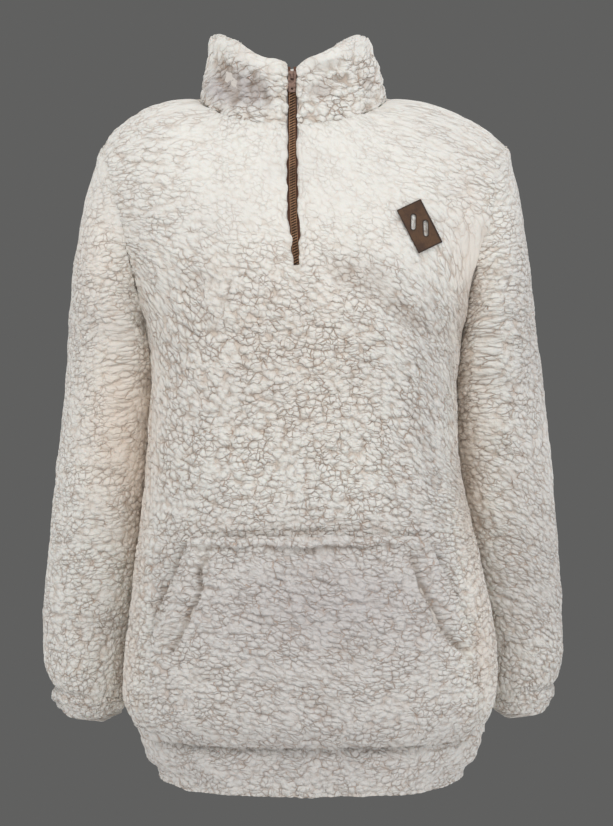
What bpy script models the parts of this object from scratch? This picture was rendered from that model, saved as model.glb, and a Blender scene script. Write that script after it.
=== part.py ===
"""Quarter-zip pullover in sherpa fleece, hollow and filled out as it is worn.

Frame: +Z up, the front faces -Y and the wearer's left is +X. The origin is the middle of the
neck base, level with the neck ends of the shoulder seams. Sizes are in millimetres up to the
point where a mesh is made, which is in metres.

The front and back are grids of points: level rings from the hem seam to the underarm, then one
curve for each column up to the shoulder seam or the neckline. Sleeves, collar, band and cuffs
start from the points of the piece that they are sewn to, so that every seam matches.
"""

from bisect import bisect_right
from collections import namedtuple
from math import acos, asin, cos, exp, pi, radians, sin

import bmesh
import bpy
from mathutils import Matrix, Vector
from mathutils.bvhtree import BVHTree

METRES = 0.001  # a millimetre in metres

# ---- cloth ----
FLEECE = 7.0  # knitted backing and curled pile together
SEAM_GAP = 0.3  # between the edges of two pieces that are sewn together
SEAM_PRESS = 2.0  # how far the stitches pull the pile down along a seam
ZIP_PRESS = 3.2  # the same beside the zip
MOST_MITRE = 2.2  # a wall grows at most this much thicker where it turns at a seam

# ---- body, as level rings: how far each reaches left, right, forward and back ----
Girth = namedtuple("Girth", "z left right front back")
GIRTHS = (
    Girth(-635, -153, 189, 112, 100),  # hem seam, drawn in by the band
    Girth(-626, -162, 197, 120, 108),
    Girth(-612, -169, 201, 125, 113),  # the cloth blouses over the band
    Girth(-583, -171, 205, 126, 114),
    Girth(-523, -165, 201, 124, 110),
    Girth(-463, -158, 188, 118, 103),
    Girth(-403, -151, 174, 116, 99),
    Girth(-353, -146, 164, 118, 98),
    Girth(-303, -143, 163, 121, 101),
    Girth(-262, -142, 167, 124, 106),
    Girth(-230, -149, 171, 126, 110),  # underarm
)
RING_FLATNESS = 0.8  # 1 is an ellipse, and less is flatter in front and fuller at the sides
LOWER_ROWS = 15  # from the hem seam to the underarm
UPPER_ROWS = 12  # from the underarm to the shoulder

# ---- shoulders and neckline ----
NECK_HALF = 96.0  # from the middle to the neck end of a shoulder seam
NECK_SIDE_Y = 2.0
SHOULDER_X = {-1: -195.0, 1: 217.0}
SHOULDER_DROP = 49.0
SHOULDER_CURVE = {-1: 2.4, 1: 2.1}  # the seam stays high beside the neck and falls to the sleeve
NECK_DEPTH = {-1: 76.0, 1: 62.0}  # front and back reach of the neckline from its sides
NECK_DROP = {-1: 39.0, 1: 10.0}  # how far the neckline falls in front and at the back
NECK_DROP_CURVE = 1.4
CENTRE_LEAN = (7.0, 2.0)  # the zip bows to the wearer's right, at the two handles below
HALF_COLUMNS = 14  # half on the shoulder seam and half on the neckline, each side

# ---- the columns above the underarm, as cubic curves: where their two handles point ----
Handle = namedtuple("Handle", "across base_out base_forth base_up top_out top_forth top_up")
FRONT_HANDLES = (
    Handle(0.00, 0, 3, 38.6, 0, 28, -66),  # centre front, along the zip
    Handle(0.25, 0, 6, 50, 2, 44, -50),
    Handle(0.36, 0, 8, 63, 2, 54, -31),
    Handle(0.43, 0, 9, 71, 2, 67, -19),
    Handle(0.50, 0, 10, 78, 2, 86, -8),  # up to the neck end of the shoulder seam
    Handle(0.75, 2, 30, 62, 0, 86, -8),
    Handle(0.90, 2, 46, 40, -5, 86, -10),
    Handle(1.00, -4, 70, 6, -14, 86, -14),  # armhole edge
)
BACK_HANDLES = (
    Handle(0.00, 0, 4, 85, 0, 34, -58),
    Handle(0.25, 0, 6, 85, 2, 45, -44),
    Handle(0.36, 0, 8, 86, 2, 59, -27),
    Handle(0.43, 0, 9, 87, 2, 70, -17),
    Handle(0.50, 0, 10, 88, 2, 86, -6),
    Handle(0.75, 2, 28, 70, 0, 90, -8),
    Handle(0.90, -2, 44, 44, -4, 88, -10),
    Handle(1.00, -10, 68, 8, -12, 86, -14),
)

# ---- zip ----
SLOT = 10.0  # gap between the two fleece edges beside the zip
ZIP_END_ROW = 4  # the upper row where the slot ends

# ---- sleeves: outer and inner edge of a ring in front view, and its reach in depth ----
Arm = namedtuple("Arm", "outer_x outer_z inner_x inner_z middle_y half_depth")
ARMS = {
    -1: (
        Arm(-225, -212, -147, -268, 8, 56),  # upper arm, where the sleeve cap ends
        Arm(-230, -282, -145, -325, 22, 53),
        Arm(-239, -355, -149, -387, 30, 51),
        Arm(-247, -425, -157, -448, 35, 49),
        Arm(-253, -487, -164, -503, 37, 47),
        Arm(-256, -540, -169, -550, 38, 46),
        Arm(-254, -572, -173, -583, 38, 43),
        Arm(-245, -594, -171, -602, 38, 38),  # cuff seam
    ),
    1: (
        Arm(243, -212, 173, -268, 12, 56),
        Arm(254, -282, 166, -325, 30, 53),
        Arm(263, -355, 170, -387, 40, 50),
        Arm(270, -425, 182, -448, 48, 47),
        Arm(275, -487, 193, -503, 55, 45),
        Arm(278, -540, 200, -550, 60, 43),
        Arm(278, -572, 202, -583, 61, 41),
        Arm(268, -594, 202, -602, 61, 37),
    ),
}
CAP_ROWS = 5
ARM_ROWS = 12

# ---- cuffs and hem band, both folded double ----
CUFF_DROP = 28.0
CUFF_DRAW = 0.94  # the open end against the seam
CUFF_SWELL = 2.5
CUFF_ROWS = 3
BAND_DROP = 45.0
BAND_DRAW = 0.94
BAND_SWELL = 3.0
BAND_ROWS = 4

# ---- collar: height of its top edge by the angle from the side (0) to the front (90) ----
Rim = namedtuple("Rim", "angle left right")
COLLAR_RIM = (
    Rim(-90, 35, 35),  # centre back
    Rim(-45, 48, 47),
    Rim(0, 56, 55),
    Rim(21, 56, 55),
    Rim(34, 54, 54),
    Rim(42, 50, 52),
    Rim(53, 42, 41),
    Rim(63, 32, 33),
    Rim(72, 26, 28),
    Rim(83, 24, 21),
    Rim(90, 23, 18),
)
COLLAR_TOP_X = -3.5  # middle of the top edge
COLLAR_ZIP_X = -0.6  # middle of the slot there
COLLAR_TOP_HALF = 80.5
COLLAR_TOP_DEPTH = {-1: 66.0, 1: 63.0}
COLLAR_LEAN = {-1: 0.6, 1: 1.2}  # under 1 the collar draws in low down, over 1 high up
COLLAR_ROWS = 5

# ---- folds: soft troughs (negative) and ridges along a line in front or back view ----
Fold = namedtuple("Fold", "x0 z0 x1 z1 width height")
FRONT_FOLDS = (
    Fold(-128, -214, -50, -182, 24, -4.0),  # drag lines from the wearer's right armhole
    Fold(-112, -262, -30, -252, 24, -3.0),
    Fold(56, -176, 120, -232, 26, -4.5),  # from the bust to the left side
    Fold(96, -246, 140, -350, 25, 5.0),  # ridge down the left side
    Fold(64, -290, 100, -400, 26, -3.5),
    Fold(-122, -400, -108, -500, 26, -3.0),
    Fold(-30, -330, 40, -350, 34, -2.0),
)
BACK_FOLDS = (
    Fold(-120, -190, -50, -235, 28, -4.0),
    Fold(125, -185, 60, -240, 28, -4.0),
    Fold(-105, -280, -80, -400, 30, -3.5),
    Fold(112, -270, 92, -420, 30, 4.0),
    Fold(-10, -420, 60, -440, 34, -3.0),
    Fold(-60, -500, 40, -520, 34, 3.0),
)
Gather = namedtuple("Gather", "x rise width height")
HEM_GATHERS = (  # where the body is eased on to the band, front and back alike
    Gather(-112, 60, 20, -3.0),
    Gather(-70, 70, 20, 2.6),
    Gather(-28, 60, 20, -2.8),
    Gather(18, 66, 22, 2.6),
    Gather(66, 60, 20, -3.0),
    Gather(112, 72, 22, 2.6),
    Gather(150, 60, 18, -2.4),
)
Wrinkle = namedtuple("Wrinkle", "row angle spread width height")
SLEEVE_WRINKLES = (  # across the arm: row down the sleeve, angle round it (90 is the front)
    Wrinkle(4.6, 100, 60, 0.8, -2.6),
    Wrinkle(6.2, 60, 55, 0.7, -2.2),
    Wrinkle(8.0, 120, 70, 0.8, -3.0),
    Wrinkle(9.6, 250, 80, 0.9, -3.0),
    Wrinkle(10.8, 80, 60, 0.8, -2.4),
    Wrinkle(12.6, 130, 60, 0.8, -2.2),
    Wrinkle(14.4, 290, 80, 0.8, -2.2),
)
Dent = namedtuple("Dent", "angle height0 height1 width depth")
COLLAR_DENTS = (  # hollows up the collar, at an angle from the side (0) to the front (90)
    Dent(146, 0.05, 0.85, 7, -3.2),  # 180 less the angle on the wearer's right
    Dent(128, 0.25, 0.75, 9, -2.6),
    Dent(52, 0.45, 0.75, 16, -2.6),
    Dent(-60, 0.2, 0.8, 12, -2.2),
    Dent(-128, 0.2, 0.8, 13, -2.4),
)

# ---- kangaroo pocket, by its corners in front view ----
POCKET_TOP_Z = -435.0
POCKET_TOP_X = (-92.0, 124.0)
POCKET_SLANT_Z = -546.0  # lower ends of the two hand openings
POCKET_SIDE_X = (-135.0, 171.0)
POCKET_BOTTOM_Z = -626.0
POCKET_SEAT = 1.0  # clearance to the front where it is sewn
POCKET_SWELL = 11.0  # room inside, at the middle
POCKET_MOUTH = 9.0  # room at the middle of a hand opening
POCKET_HEM = 19.0  # turned-in edge beside a hand opening
POCKET_HEM_GROOVE = 2.2
POCKET_TOP_ROLL = 12.0
POCKET_COLUMNS = 20

# ---- leather patch ----
PATCH_CENTRE = (121.0, -138.0)
PATCH_WIDTH = 26.0
PATCH_LENGTH = 46.0
PATCH_TURN = 27.0  # degrees, its top towards the wearer's right
PATCH_THICKNESS = 1.6
PATCH_SEAT = 0.5
PATCH_SLOTS = ((-5.8, 3.9, 2.0), (6.2, -1.8, -2.0))  # from its centre across and up, and lean in degrees
PATCH_SLOT_LENGTH = 15.0
PATCH_SLOT_WIDTH = 4.1
WELD = 0.02  # corners closer than this after a cut are one

# ---- zip tape, chain and slider ----
TAPE_THICKNESS = 0.8
TAPE_HALF = 13.0
TAPE_BELOW = 1.4  # from the inside of the fleece to the front of the tape
TAPE_RUN_OUT = 8.0  # tape beyond the lower end of the slot
TAPE_PARTING = 1.5  # from the middle to each tape above the slider's post
CHAIN_WIDTH = 5.6
CHAIN_HEIGHT = 2.2
CHAIN_START = 2.0  # above the lower end of the slot
SLIDER_TOP_Z = 16.0
SLIDER_LENGTH = 12.0
SLIDER_HALF = 4.4
SLIDER_NOSE_HALF = 3.9  # at the lower end
SLIDER_PLATE = 1.1
CLEARANCE = 0.3
POST_HALF = 0.9
POST_LENGTH = 2.6
CROWN_HALF = 1.3
CROWN_LENGTH = 7.0
CROWN_TOP = -1.2  # from the slider's top
CROWN_BAR = 1.0
CROWN_EYE = 2.4
PULL_LENGTH = 19.0
PULL_HALF = 3.5
PULL_THICKNESS = 1.1
PULL_BAR = 1.2
PULL_WINDOW_HALF = 2.0
PULL_WINDOW = 7.8  # down from the bar that turns in the crown's eye
PULL_LIFT = 0.4  # between the front plate and the pull
PULL_HOLE_RADIUS = 1.2
PULL_HOLE_UP = 3.4  # from the pull's end

FLEECE_COLOUR = (0.80, 0.74, 0.69, 1)
ZIP_COLOUR = (0.20, 0.10, 0.055, 1)
METAL_COLOUR = (0.36, 0.24, 0.19, 1)
LEATHER_COLOUR = (0.13, 0.05, 0.02, 1)


# ---------------------------------------------------------------- tables and curves


def read(table, key):
    """The columns after the first at key, on a smooth curve through the rows of a table."""
    keys = [row[0] for row in table]
    last = len(keys) - 1
    key = min(max(key, keys[0]), keys[last])
    high = min(bisect_right(keys, key), last)
    low = high - 1
    span = keys[high] - keys[low]
    t = (key - keys[low]) / span

    def slope(i, column):
        before, after = max(i - 1, 0), min(i + 1, last)
        rise = table[after][column] - table[before][column]
        return rise / (keys[after] - keys[before]) * span

    found = []
    for column in range(1, len(table[0])):
        a, b = table[low][column], table[high][column]
        start, end = slope(low, column), slope(high, column)
        curve = 2 * t**3 - 3 * t**2 + 1
        found.append(
            a * curve
            + b * (1 - curve)
            + start * (t**3 - 2 * t**2 + t)
            + end * (t**3 - t**2)
        )
    return found


def bezier(p0, p1, p2, p3, t):
    s = 1 - t
    return p0 * s**3 + p1 * (3 * s * s * t) + p2 * (3 * s * t * t) + p3 * t**3


def bump(distance, width):
    return exp(-((distance / width) ** 2))


def fold_height(folds, x, z):
    """How far the folds lift the cloth at a place in front or back view."""
    total = 0.0
    for fold in folds:
        start, end = Vector((fold.x0, fold.z0)), Vector((fold.x1, fold.z1))
        run = end - start
        along = (Vector((x, z)) - start).dot(run) / run.length_squared
        nearest = start + run * min(max(along, 0), 1)
        total += fold.height * bump((Vector((x, z)) - nearest).length, fold.width)
    return total


def gather_height(x, z):
    above_seam = z - GIRTHS[0].z
    return sum(
        g.height * bump(x - g.x, g.width) * bump(above_seam, g.rise)
        for g in HEM_GATHERS
    )


# ---------------------------------------------------------------- grids of points


class Sheet:
    """One piece of cloth as a grid of points, rows by columns, with the cells that it fills."""

    def __init__(self, name, rows, closed=False, flip=False, skip=(), press=None):
        self.name = name
        self.rows = rows
        self.columns = len(rows[0])
        self.points = [point for row in rows for point in row]
        self.press = press or {}
        wide = self.columns if closed else self.columns - 1
        self.quads = []
        for j in range(len(rows) - 1):
            for i in range(wide):
                if (j, i) in skip:
                    continue
                near, far = (i + 1) % self.columns, i
                quad = [self.at(j, far), self.at(j, near), self.at(j + 1, near), self.at(j + 1, far)]
                self.quads.append(quad[::-1] if flip else quad)
        self.normals = self.corner_normals()

    def at(self, row, column):
        return row * self.columns + column

    def corner_normals(self):
        found = [Vector() for _ in self.points]
        for quad in self.quads:
            a, b, c, d = (self.points[k] for k in quad)
            facing = (c - a).cross(d - b)
            for k in quad:
                found[k] += facing
        return [n.normalized() if n.length else n for n in found]

    def edges(self):
        """The open edges, each as (from, to) with the cloth on its left."""
        sides = {}
        for quad in self.quads:
            for k in range(4):
                sides[(quad[k], quad[(k + 1) % 4])] = True
        return [side for side in sides if side[::-1] not in sides]

    def inward(self):
        """For each point on an open edge, the way into the cloth along its surface."""
        found = {}
        for start, end in self.edges():
            run = (self.points[end] - self.points[start]).normalized()
            for k in (start, end):
                found.setdefault(k, []).append(self.normals[k].cross(run).normalized())
        return {k: (a + b) / max(1 + a.dot(b), 0.5) for k, (a, b) in found.items()}



def share_seams(sheets):
    """One mitre, as a direction and a length, for all the pieces that meet at a point."""
    found = {}
    for sheet in sheets:
        for point, normal in zip(sheet.points, sheet.normals):
            found.setdefault(tuple(round(v, 2) for v in point), []).append(normal)
    shared = {}
    for key, normals in found.items():
        middle = sum(normals, Vector()).normalized()
        lengths = [1 / max(n.dot(middle), 1 / MOST_MITRE) for n in normals]
        shared[key] = middle * (sum(lengths) / len(lengths))
    for sheet in sheets:
        sheet.mitres = [shared[tuple(round(v, 2) for v in point)] for point in sheet.points]


def wall(sheet, thickness=FLEECE, colour=FLEECE_COLOUR):
    """The sheet as a closed wall: its own points outside, the same points moved in, and rims."""
    into = sheet.inward()
    outer, inner = [], []
    used = {k for quad in sheet.quads for k in quad}
    for k, point in enumerate(sheet.points):
        edge = into.get(k, Vector()) * (SEAM_GAP / 2)
        press = sheet.press.get(k, SEAM_PRESS if k in into else 0.0)
        outer.append(point + edge - sheet.mitres[k] * press)
        inner.append(point + edge - sheet.mitres[k] * thickness)
    mesh = bmesh.new()
    outside = {k: mesh.verts.new(outer[k] * METRES) for k in used}
    inside = {k: mesh.verts.new(inner[k] * METRES) for k in used}
    for quad in sheet.quads:
        mesh.faces.new([outside[k] for k in quad])
        mesh.faces.new([inside[k] for k in reversed(quad)])
    for start, end in sheet.edges():
        across = (outer[start] - inner[end]).length < (outer[end] - inner[start]).length
        corners = (outside[end], outside[start], inside[start], inside[end])
        for turn in ((0, 1, 3), (1, 2, 3)) if across else ((0, 1, 2), (0, 2, 3)):
            mesh.faces.new([corners[k] for k in turn])
    return finish(sheet.name, mesh, colour)


# ---------------------------------------------------------------- objects


def material(name, colour, roughness=0.9, metallic=0.0):
    found = bpy.data.materials.get(name) or bpy.data.materials.new(name)
    found.use_nodes = True
    shader = found.node_tree.nodes["Principled BSDF"]
    shader.inputs["Base Color"].default_value = colour
    shader.inputs["Roughness"].default_value = roughness
    shader.inputs["Metallic"].default_value = metallic
    return found


def finish(name, mesh, colour, roughness=0.95, metallic=0.0, parent=None):
    """An object made from a closed bmesh, with its faces turned out."""
    bmesh.ops.recalc_face_normals(mesh, faces=mesh.faces)
    bmesh.ops.triangulate(mesh, faces=mesh.faces)
    data = bpy.data.meshes.new(name)
    mesh.to_mesh(data)
    mesh.free()
    data.shade_smooth()
    data.set_sharp_from_angle(angle=radians(40))
    made = bpy.data.objects.new(name, data)
    made.data.materials.append(material(name, colour, roughness, metallic))
    bpy.context.scene.collection.objects.link(made)
    made.parent = parent
    return made


# ---------------------------------------------------------------- front and back


def columns_of(slotted):
    """Places across a panel, from -1 at one armhole through 0 at the centre to 1."""
    side = [k / HALF_COLUMNS for k in range(1, HALF_COLUMNS + 1)]
    middle = ["slot -", "slot +"] if slotted else [0.0]
    return [-w for w in reversed(side)] + middle + side


def sine_across(column, half_width):
    """How far out a column lies, as a share of the half width."""
    if column == "slot -":
        return -SLOT / 2 / half_width
    if column == "slot +":
        return SLOT / 2 / half_width
    return sin(column * pi / 2)


def share_across(column):
    return 0.0 if isinstance(column, str) else abs(column)


def sign_across(column):
    if isinstance(column, str):
        return -1 if column == "slot -" else 1
    return -1 if column < 0 else 1


def ring_point(column, z, side):
    """A point of the body below the underarm; side is -1 in front and 1 at the back."""
    left, right, front, back = read(GIRTHS, z)
    half, depth = (right - left) / 2, front if side < 0 else back
    out = sine_across(column, half)
    y = side * depth * max(1 - out * out, 0) ** (RING_FLATNESS / 2)
    return Vector(((left + right) / 2 + half * out, y, z))


def top_point(column, side):
    """The upper end of a column: on the shoulder seam, or on the neckline."""
    share, sign = share_across(column), sign_across(column)
    if share >= 0.5:
        down = (share - 0.5) / 0.5
        reach = abs(SHOULDER_X[sign])
        x = sign * (NECK_HALF + (reach - NECK_HALF) * down)
        return Vector((x, NECK_SIDE_Y, -SHOULDER_DROP * down ** SHOULDER_CURVE[sign]))
    angle = (0.5 - share) * pi
    if isinstance(column, str):
        angle = acos(SLOT / 2 / NECK_HALF)
    return Vector(
        (
            sign * NECK_HALF * cos(angle),
            NECK_SIDE_Y + side * NECK_DEPTH[side] * sin(angle),
            -NECK_DROP[side] * sin(angle) ** NECK_DROP_CURVE,
        )
    )


def upper_column(column, side):
    """A column's points from the underarm up, along one cubic curve."""
    share, sign = share_across(column), sign_across(column)
    if column == 0.0:
        sign = 0
    handles = FRONT_HANDLES if side < 0 else BACK_HANDLES
    base_out, base_forth, base_up, top_out, top_forth, top_up = read(handles, share)
    base, top = ring_point(column, GIRTHS[-1].z, side), top_point(column, side)
    lean = (1 - share) ** 2 if side < 0 else 0.0
    low = base + Vector((sign * base_out - CENTRE_LEAN[0] * lean, side * base_forth, base_up))
    high = top + Vector((sign * top_out - CENTRE_LEAN[1] * lean, side * top_forth, top_up))
    return [bezier(base, low, high, top, j / UPPER_ROWS) for j in range(UPPER_ROWS + 1)]


def folded(point, side, folds):
    """A point of the front or back, moved out from the middle of the body by the folds."""
    left, right, _, _ = read(GIRTHS, point.z)
    out = Vector((point.x - (left + right) / 2, point.y, 0))
    if out.length < 1:
        return point
    lift = fold_height(folds, point.x, point.z) + gather_height(point.x, point.z)
    return point + out.normalized() * (lift * min(abs(point.y) / 30, 1))


def panel_rows(side, slotted):
    columns = columns_of(slotted)
    step = (GIRTHS[-1].z - GIRTHS[0].z) / LOWER_ROWS
    rows = [
        [ring_point(c, GIRTHS[0].z + step * j, side) for c in columns]
        for j in range(LOWER_ROWS)
    ]
    upper = [upper_column(c, side) for c in columns]
    rows += [[column[j] for column in upper] for j in range(UPPER_ROWS + 1)]
    folds = FRONT_FOLDS if side < 0 else BACK_FOLDS
    top = len(rows) - 1
    return [
        [
            p if j == top or i in (0, len(row) - 1) else folded(p, side, folds)
            for i, p in enumerate(row)
        ]
        for j, row in enumerate(rows)
    ]


def front_sheet():
    rows = panel_rows(-1, slotted=True)
    middle = HALF_COLUMNS  # the cell between the two slot columns
    first = LOWER_ROWS + ZIP_END_ROW
    skip = {(j, middle) for j in range(first, len(rows) - 1)}
    columns = len(rows[0])
    press = {
        j * columns + i: ZIP_PRESS
        for j in range(first, len(rows))
        for i in (middle, middle + 1)
    }
    return Sheet("front", rows, skip=skip, press=press)


def back_sheet():
    return Sheet("back", panel_rows(1, slotted=False), flip=True)


# ---------------------------------------------------------------- sleeves and cuffs


def arm_ring(side, row):
    """A ring of the arm, row 0 at the upper arm; from the underarm over the front and back."""
    table = [(k, *arm) for k, arm in enumerate(ARMS[side])]
    arm = Arm(*read(table, row))
    centre = Vector(((arm.outer_x + arm.inner_x) / 2, arm.middle_y, (arm.outer_z + arm.inner_z) / 2))
    half = Vector(((arm.outer_x - arm.inner_x) / 2, 0, (arm.outer_z - arm.inner_z) / 2))
    count = 2 * UPPER_ROWS
    return [
        centre
        - half * cos(2 * pi * m / count)
        - Vector((0, arm.half_depth * sin(2 * pi * m / count), 0))
        for m in range(count)
    ]


def armhole(front, back, side):
    """The armhole's points from the underarm up the front and down the back."""
    edge = 0 if side < 0 else -1
    rising = [row[edge] for row in front.rows[LOWER_ROWS:]]
    falling = [row[edge] for row in back.rows[LOWER_ROWS:]]
    return rising + falling[-2:0:-1]


def cap_tangent(side, m):
    """Which way a line of the sleeve leaves the armhole, and how strongly."""
    turn = 2 * pi * m / (2 * UPPER_ROWS)
    top = (1 - cos(turn)) / 2  # 0 at the underarm, 1 at the shoulder
    out = 19 - 6 * top + 6 * abs(sin(turn))
    down = 22 + 20 * top
    return Vector((side * out, -3 * sin(turn), -down))


def wrinkled(ring, row):
    """A ring of the sleeve with its wrinkles, which run part of the way round."""
    centre = sum(ring, Vector()) / len(ring)
    moved = []
    for m, point in enumerate(ring):
        angle = 180 - 360 * m / len(ring)  # 0 outside, 90 in front
        lift = 0.0
        for w in SLEEVE_WRINKLES:
            off = (angle - w.angle + 180) % 360 - 180
            lift += w.height * bump(off, w.spread) * bump(row - w.row, w.width)
        moved.append(point + (point - centre).normalized() * lift)
    return moved


def sleeve_sheet(name, side, hole):
    upper, next_ring = arm_ring(side, 0), arm_ring(side, 0.5)
    rings = [hole]
    for row in range(1, CAP_ROWS):
        t = row / CAP_ROWS
        ring = []
        for m, (start, end) in enumerate(zip(hole, upper)):
            leave, arrive = cap_tangent(side, m), (next_ring[m] - end) * 1.2
            ring.append(bezier(start, start + leave, end - arrive, end, t))
        rings.append(ring)
    last = len(ARMS[side]) - 1
    rings += [arm_ring(side, last * k / ARM_ROWS) for k in range(ARM_ROWS + 1)]
    final = len(rings) - 1
    rings = [
        ring if row in (0, final) else wrinkled(ring, row) for row, ring in enumerate(rings)
    ]
    return Sheet(name, rings, closed=True, flip=side > 0)


def tube_below(ring, drop, draw, swell, rows):
    """Level copies of a ring below it, drawn in to the open end and swelling in between."""
    centre = sum(ring, Vector()) / len(ring)
    made = [ring]
    for k in range(1, rows + 1):
        t = k / rows
        size = 1 + (draw - 1) * t
        level = []
        for point in ring:
            out = Vector((point.x - centre.x, point.y - centre.y, 0))
            reach = out * size + out.normalized() * (swell * sin(pi * t**0.7))
            level.append(Vector((centre.x, centre.y, point.z - drop * t)) + reach)
        made.append(level)
    return made


def cuff_sheet(name, side, sleeve):
    rings = tube_below(sleeve.rows[-1], CUFF_DROP, CUFF_DRAW, CUFF_SWELL, CUFF_ROWS)
    return Sheet(name, rings, closed=True, flip=side > 0)


def band_sheet(front, back):
    ring = front.rows[0] + back.rows[0][-2:0:-1]
    rings = tube_below(ring, BAND_DROP, BAND_DRAW, BAND_SWELL, BAND_ROWS)
    return Sheet("hem_band", rings, closed=True, flip=True)


# ---------------------------------------------------------------- collar


def collar_angle(x, side):
    """The angle of a neckline point round the neck: 0 at the wearer's left, 90 in front."""
    angle = acos(min(max(x / NECK_HALF, -1), 1))
    return angle if side < 0 else -angle


def rim_height(angle):
    """The top edge's height at an angle, by its distance from the nearer side."""
    from_side = asin(sin(angle)) * 180 / pi
    left, right = read(COLLAR_RIM, from_side)
    return left if cos(angle) < 0 else right


def dent_depth(angle, height):
    degrees = angle * 180 / pi
    total = 0.0
    for dent in COLLAR_DENTS:
        off = (degrees - dent.angle + 180) % 360 - 180
        middle = (dent.height0 + dent.height1) / 2
        reach = (dent.height1 - dent.height0) / 2
        total += dent.depth * bump(off, dent.width) * bump(height - middle, reach)
    return total


def collar_sheet(front, back):
    """From the slot's edge on the wearer's left, round the back, to its other edge."""
    middle = HALF_COLUMNS
    start = [(p, -1) for p in front.rows[-1][middle + 1 : middle + 1 + middle // 2 + 1]]
    nape = back.rows[-1][middle // 2 : middle + middle // 2 + 1]
    around = [(p, 1) for p in reversed(nape)][1:-1]
    end = [(p, -1) for p in front.rows[-1][middle // 2 : middle + 1]]
    base = start + around + end
    rows = []
    for j in range(COLLAR_ROWS + 1):
        height = j / COLLAR_ROWS
        row = []
        for point, side in base:
            angle = collar_angle(point.x, side)
            top_x = COLLAR_TOP_X + COLLAR_TOP_HALF * cos(angle)
            if point in (base[0][0], base[-1][0]):
                top_x = COLLAR_ZIP_X + (SLOT / 2 if point.x > 0 else -SLOT / 2)
            top = Vector((
                top_x,
                side * COLLAR_TOP_DEPTH[side] * abs(sin(angle)),
                rim_height(angle),
            ))
            lean = (COLLAR_LEAN[1] + COLLAR_LEAN[-1]) / 2
            lean += cos(angle) * (COLLAR_LEAN[1] - COLLAR_LEAN[-1]) / 2
            place = point.lerp(top, height**lean)
            place.z = point.z + (top.z - point.z) * height
            if 0 < j:
                place += Vector((cos(angle), -sin(angle), 0)) * dent_depth(angle, height)
            row.append(place)
        rows.append(row)
    columns = len(base)
    press = {j * columns + i: ZIP_PRESS for j in range(COLLAR_ROWS + 1) for i in (0, columns - 1)}
    press.update({COLLAR_ROWS * columns + i: 0.0 for i in range(1, columns - 1)})
    return Sheet("collar", rows, press=press)


# ---------------------------------------------------------------- what lies on the front


class Seat:
    """The front as it is built, read where a line from in front meets it."""

    REACH = 12.0  # the surface's slope is measured over this distance

    def __init__(self, made):
        self.tree = BVHTree.FromObject(made, bpy.context.evaluated_depsgraph_get())

    def place(self, x, z):
        """The surface at x and z, a hair aside if the line slips between two triangles."""
        for aside in (0, 0.02, -0.02):
            start = Vector((x + aside, -400, max(z, GIRTHS[0].z + 3) + aside)) * METRES
            found = self.tree.ray_cast(start, Vector((0, 1, 0)))[0]
            if found:
                return found / METRES
        raise ValueError(f"nothing in front at {x:.1f}, {z:.1f}")

    def normal(self, x, z):
        across = self.place(x + self.REACH, z) - self.place(x - self.REACH, z)
        up = self.place(x, z + self.REACH) - self.place(x, z - self.REACH)
        return across.cross(up).normalized()

    def above(self, x, z, lift):
        return self.place(x, z) + self.normal(x, z) * lift


def plate_between(lower, upper):
    """A closed plate from two grids of points of the same size."""
    mesh = bmesh.new()
    low = [[mesh.verts.new(p * METRES) for p in row] for row in lower]
    high = [[mesh.verts.new(p * METRES) for p in row] for row in upper]
    rows, columns = len(lower), len(lower[0])
    for j in range(rows - 1):
        for i in range(columns - 1):
            for grid in (low, high):
                mesh.faces.new([grid[j][i], grid[j][i + 1], grid[j + 1][i + 1], grid[j + 1][i]])
    around = [(0, i) for i in range(columns)]
    around += [(j, columns - 1) for j in range(1, rows)]
    around += [(rows - 1, i) for i in range(columns - 2, -1, -1)]
    around += [(j, 0) for j in range(rows - 2, 0, -1)]
    for (j0, i0), (j1, i1) in zip(around, around[1:] + around[:1]):
        mesh.faces.new([low[j0][i0], low[j1][i1], high[j1][i1], high[j0][i0]])
    return mesh


def pocket_edge(side, z):
    """x of the pocket's left (0) or right (1) edge at a height: slanted, then straight down."""
    slant = min((POCKET_TOP_Z - z) / (POCKET_TOP_Z - POCKET_SLANT_Z), 1)
    return POCKET_TOP_X[side] + (POCKET_SIDE_X[side] - POCKET_TOP_X[side]) * slant**1.15


def pocket_columns():
    """Shares across the pocket, with a column on each line of stitches beside an opening."""
    hem = POCKET_HEM / (POCKET_TOP_X[1] - POCKET_TOP_X[0])
    inner = POCKET_COLUMNS - 4
    middle = [hem + (1 - 2 * hem) * k / inner for k in range(inner + 1)]
    return [0, hem / 2] + middle + [1 - hem / 2, 1]


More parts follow.
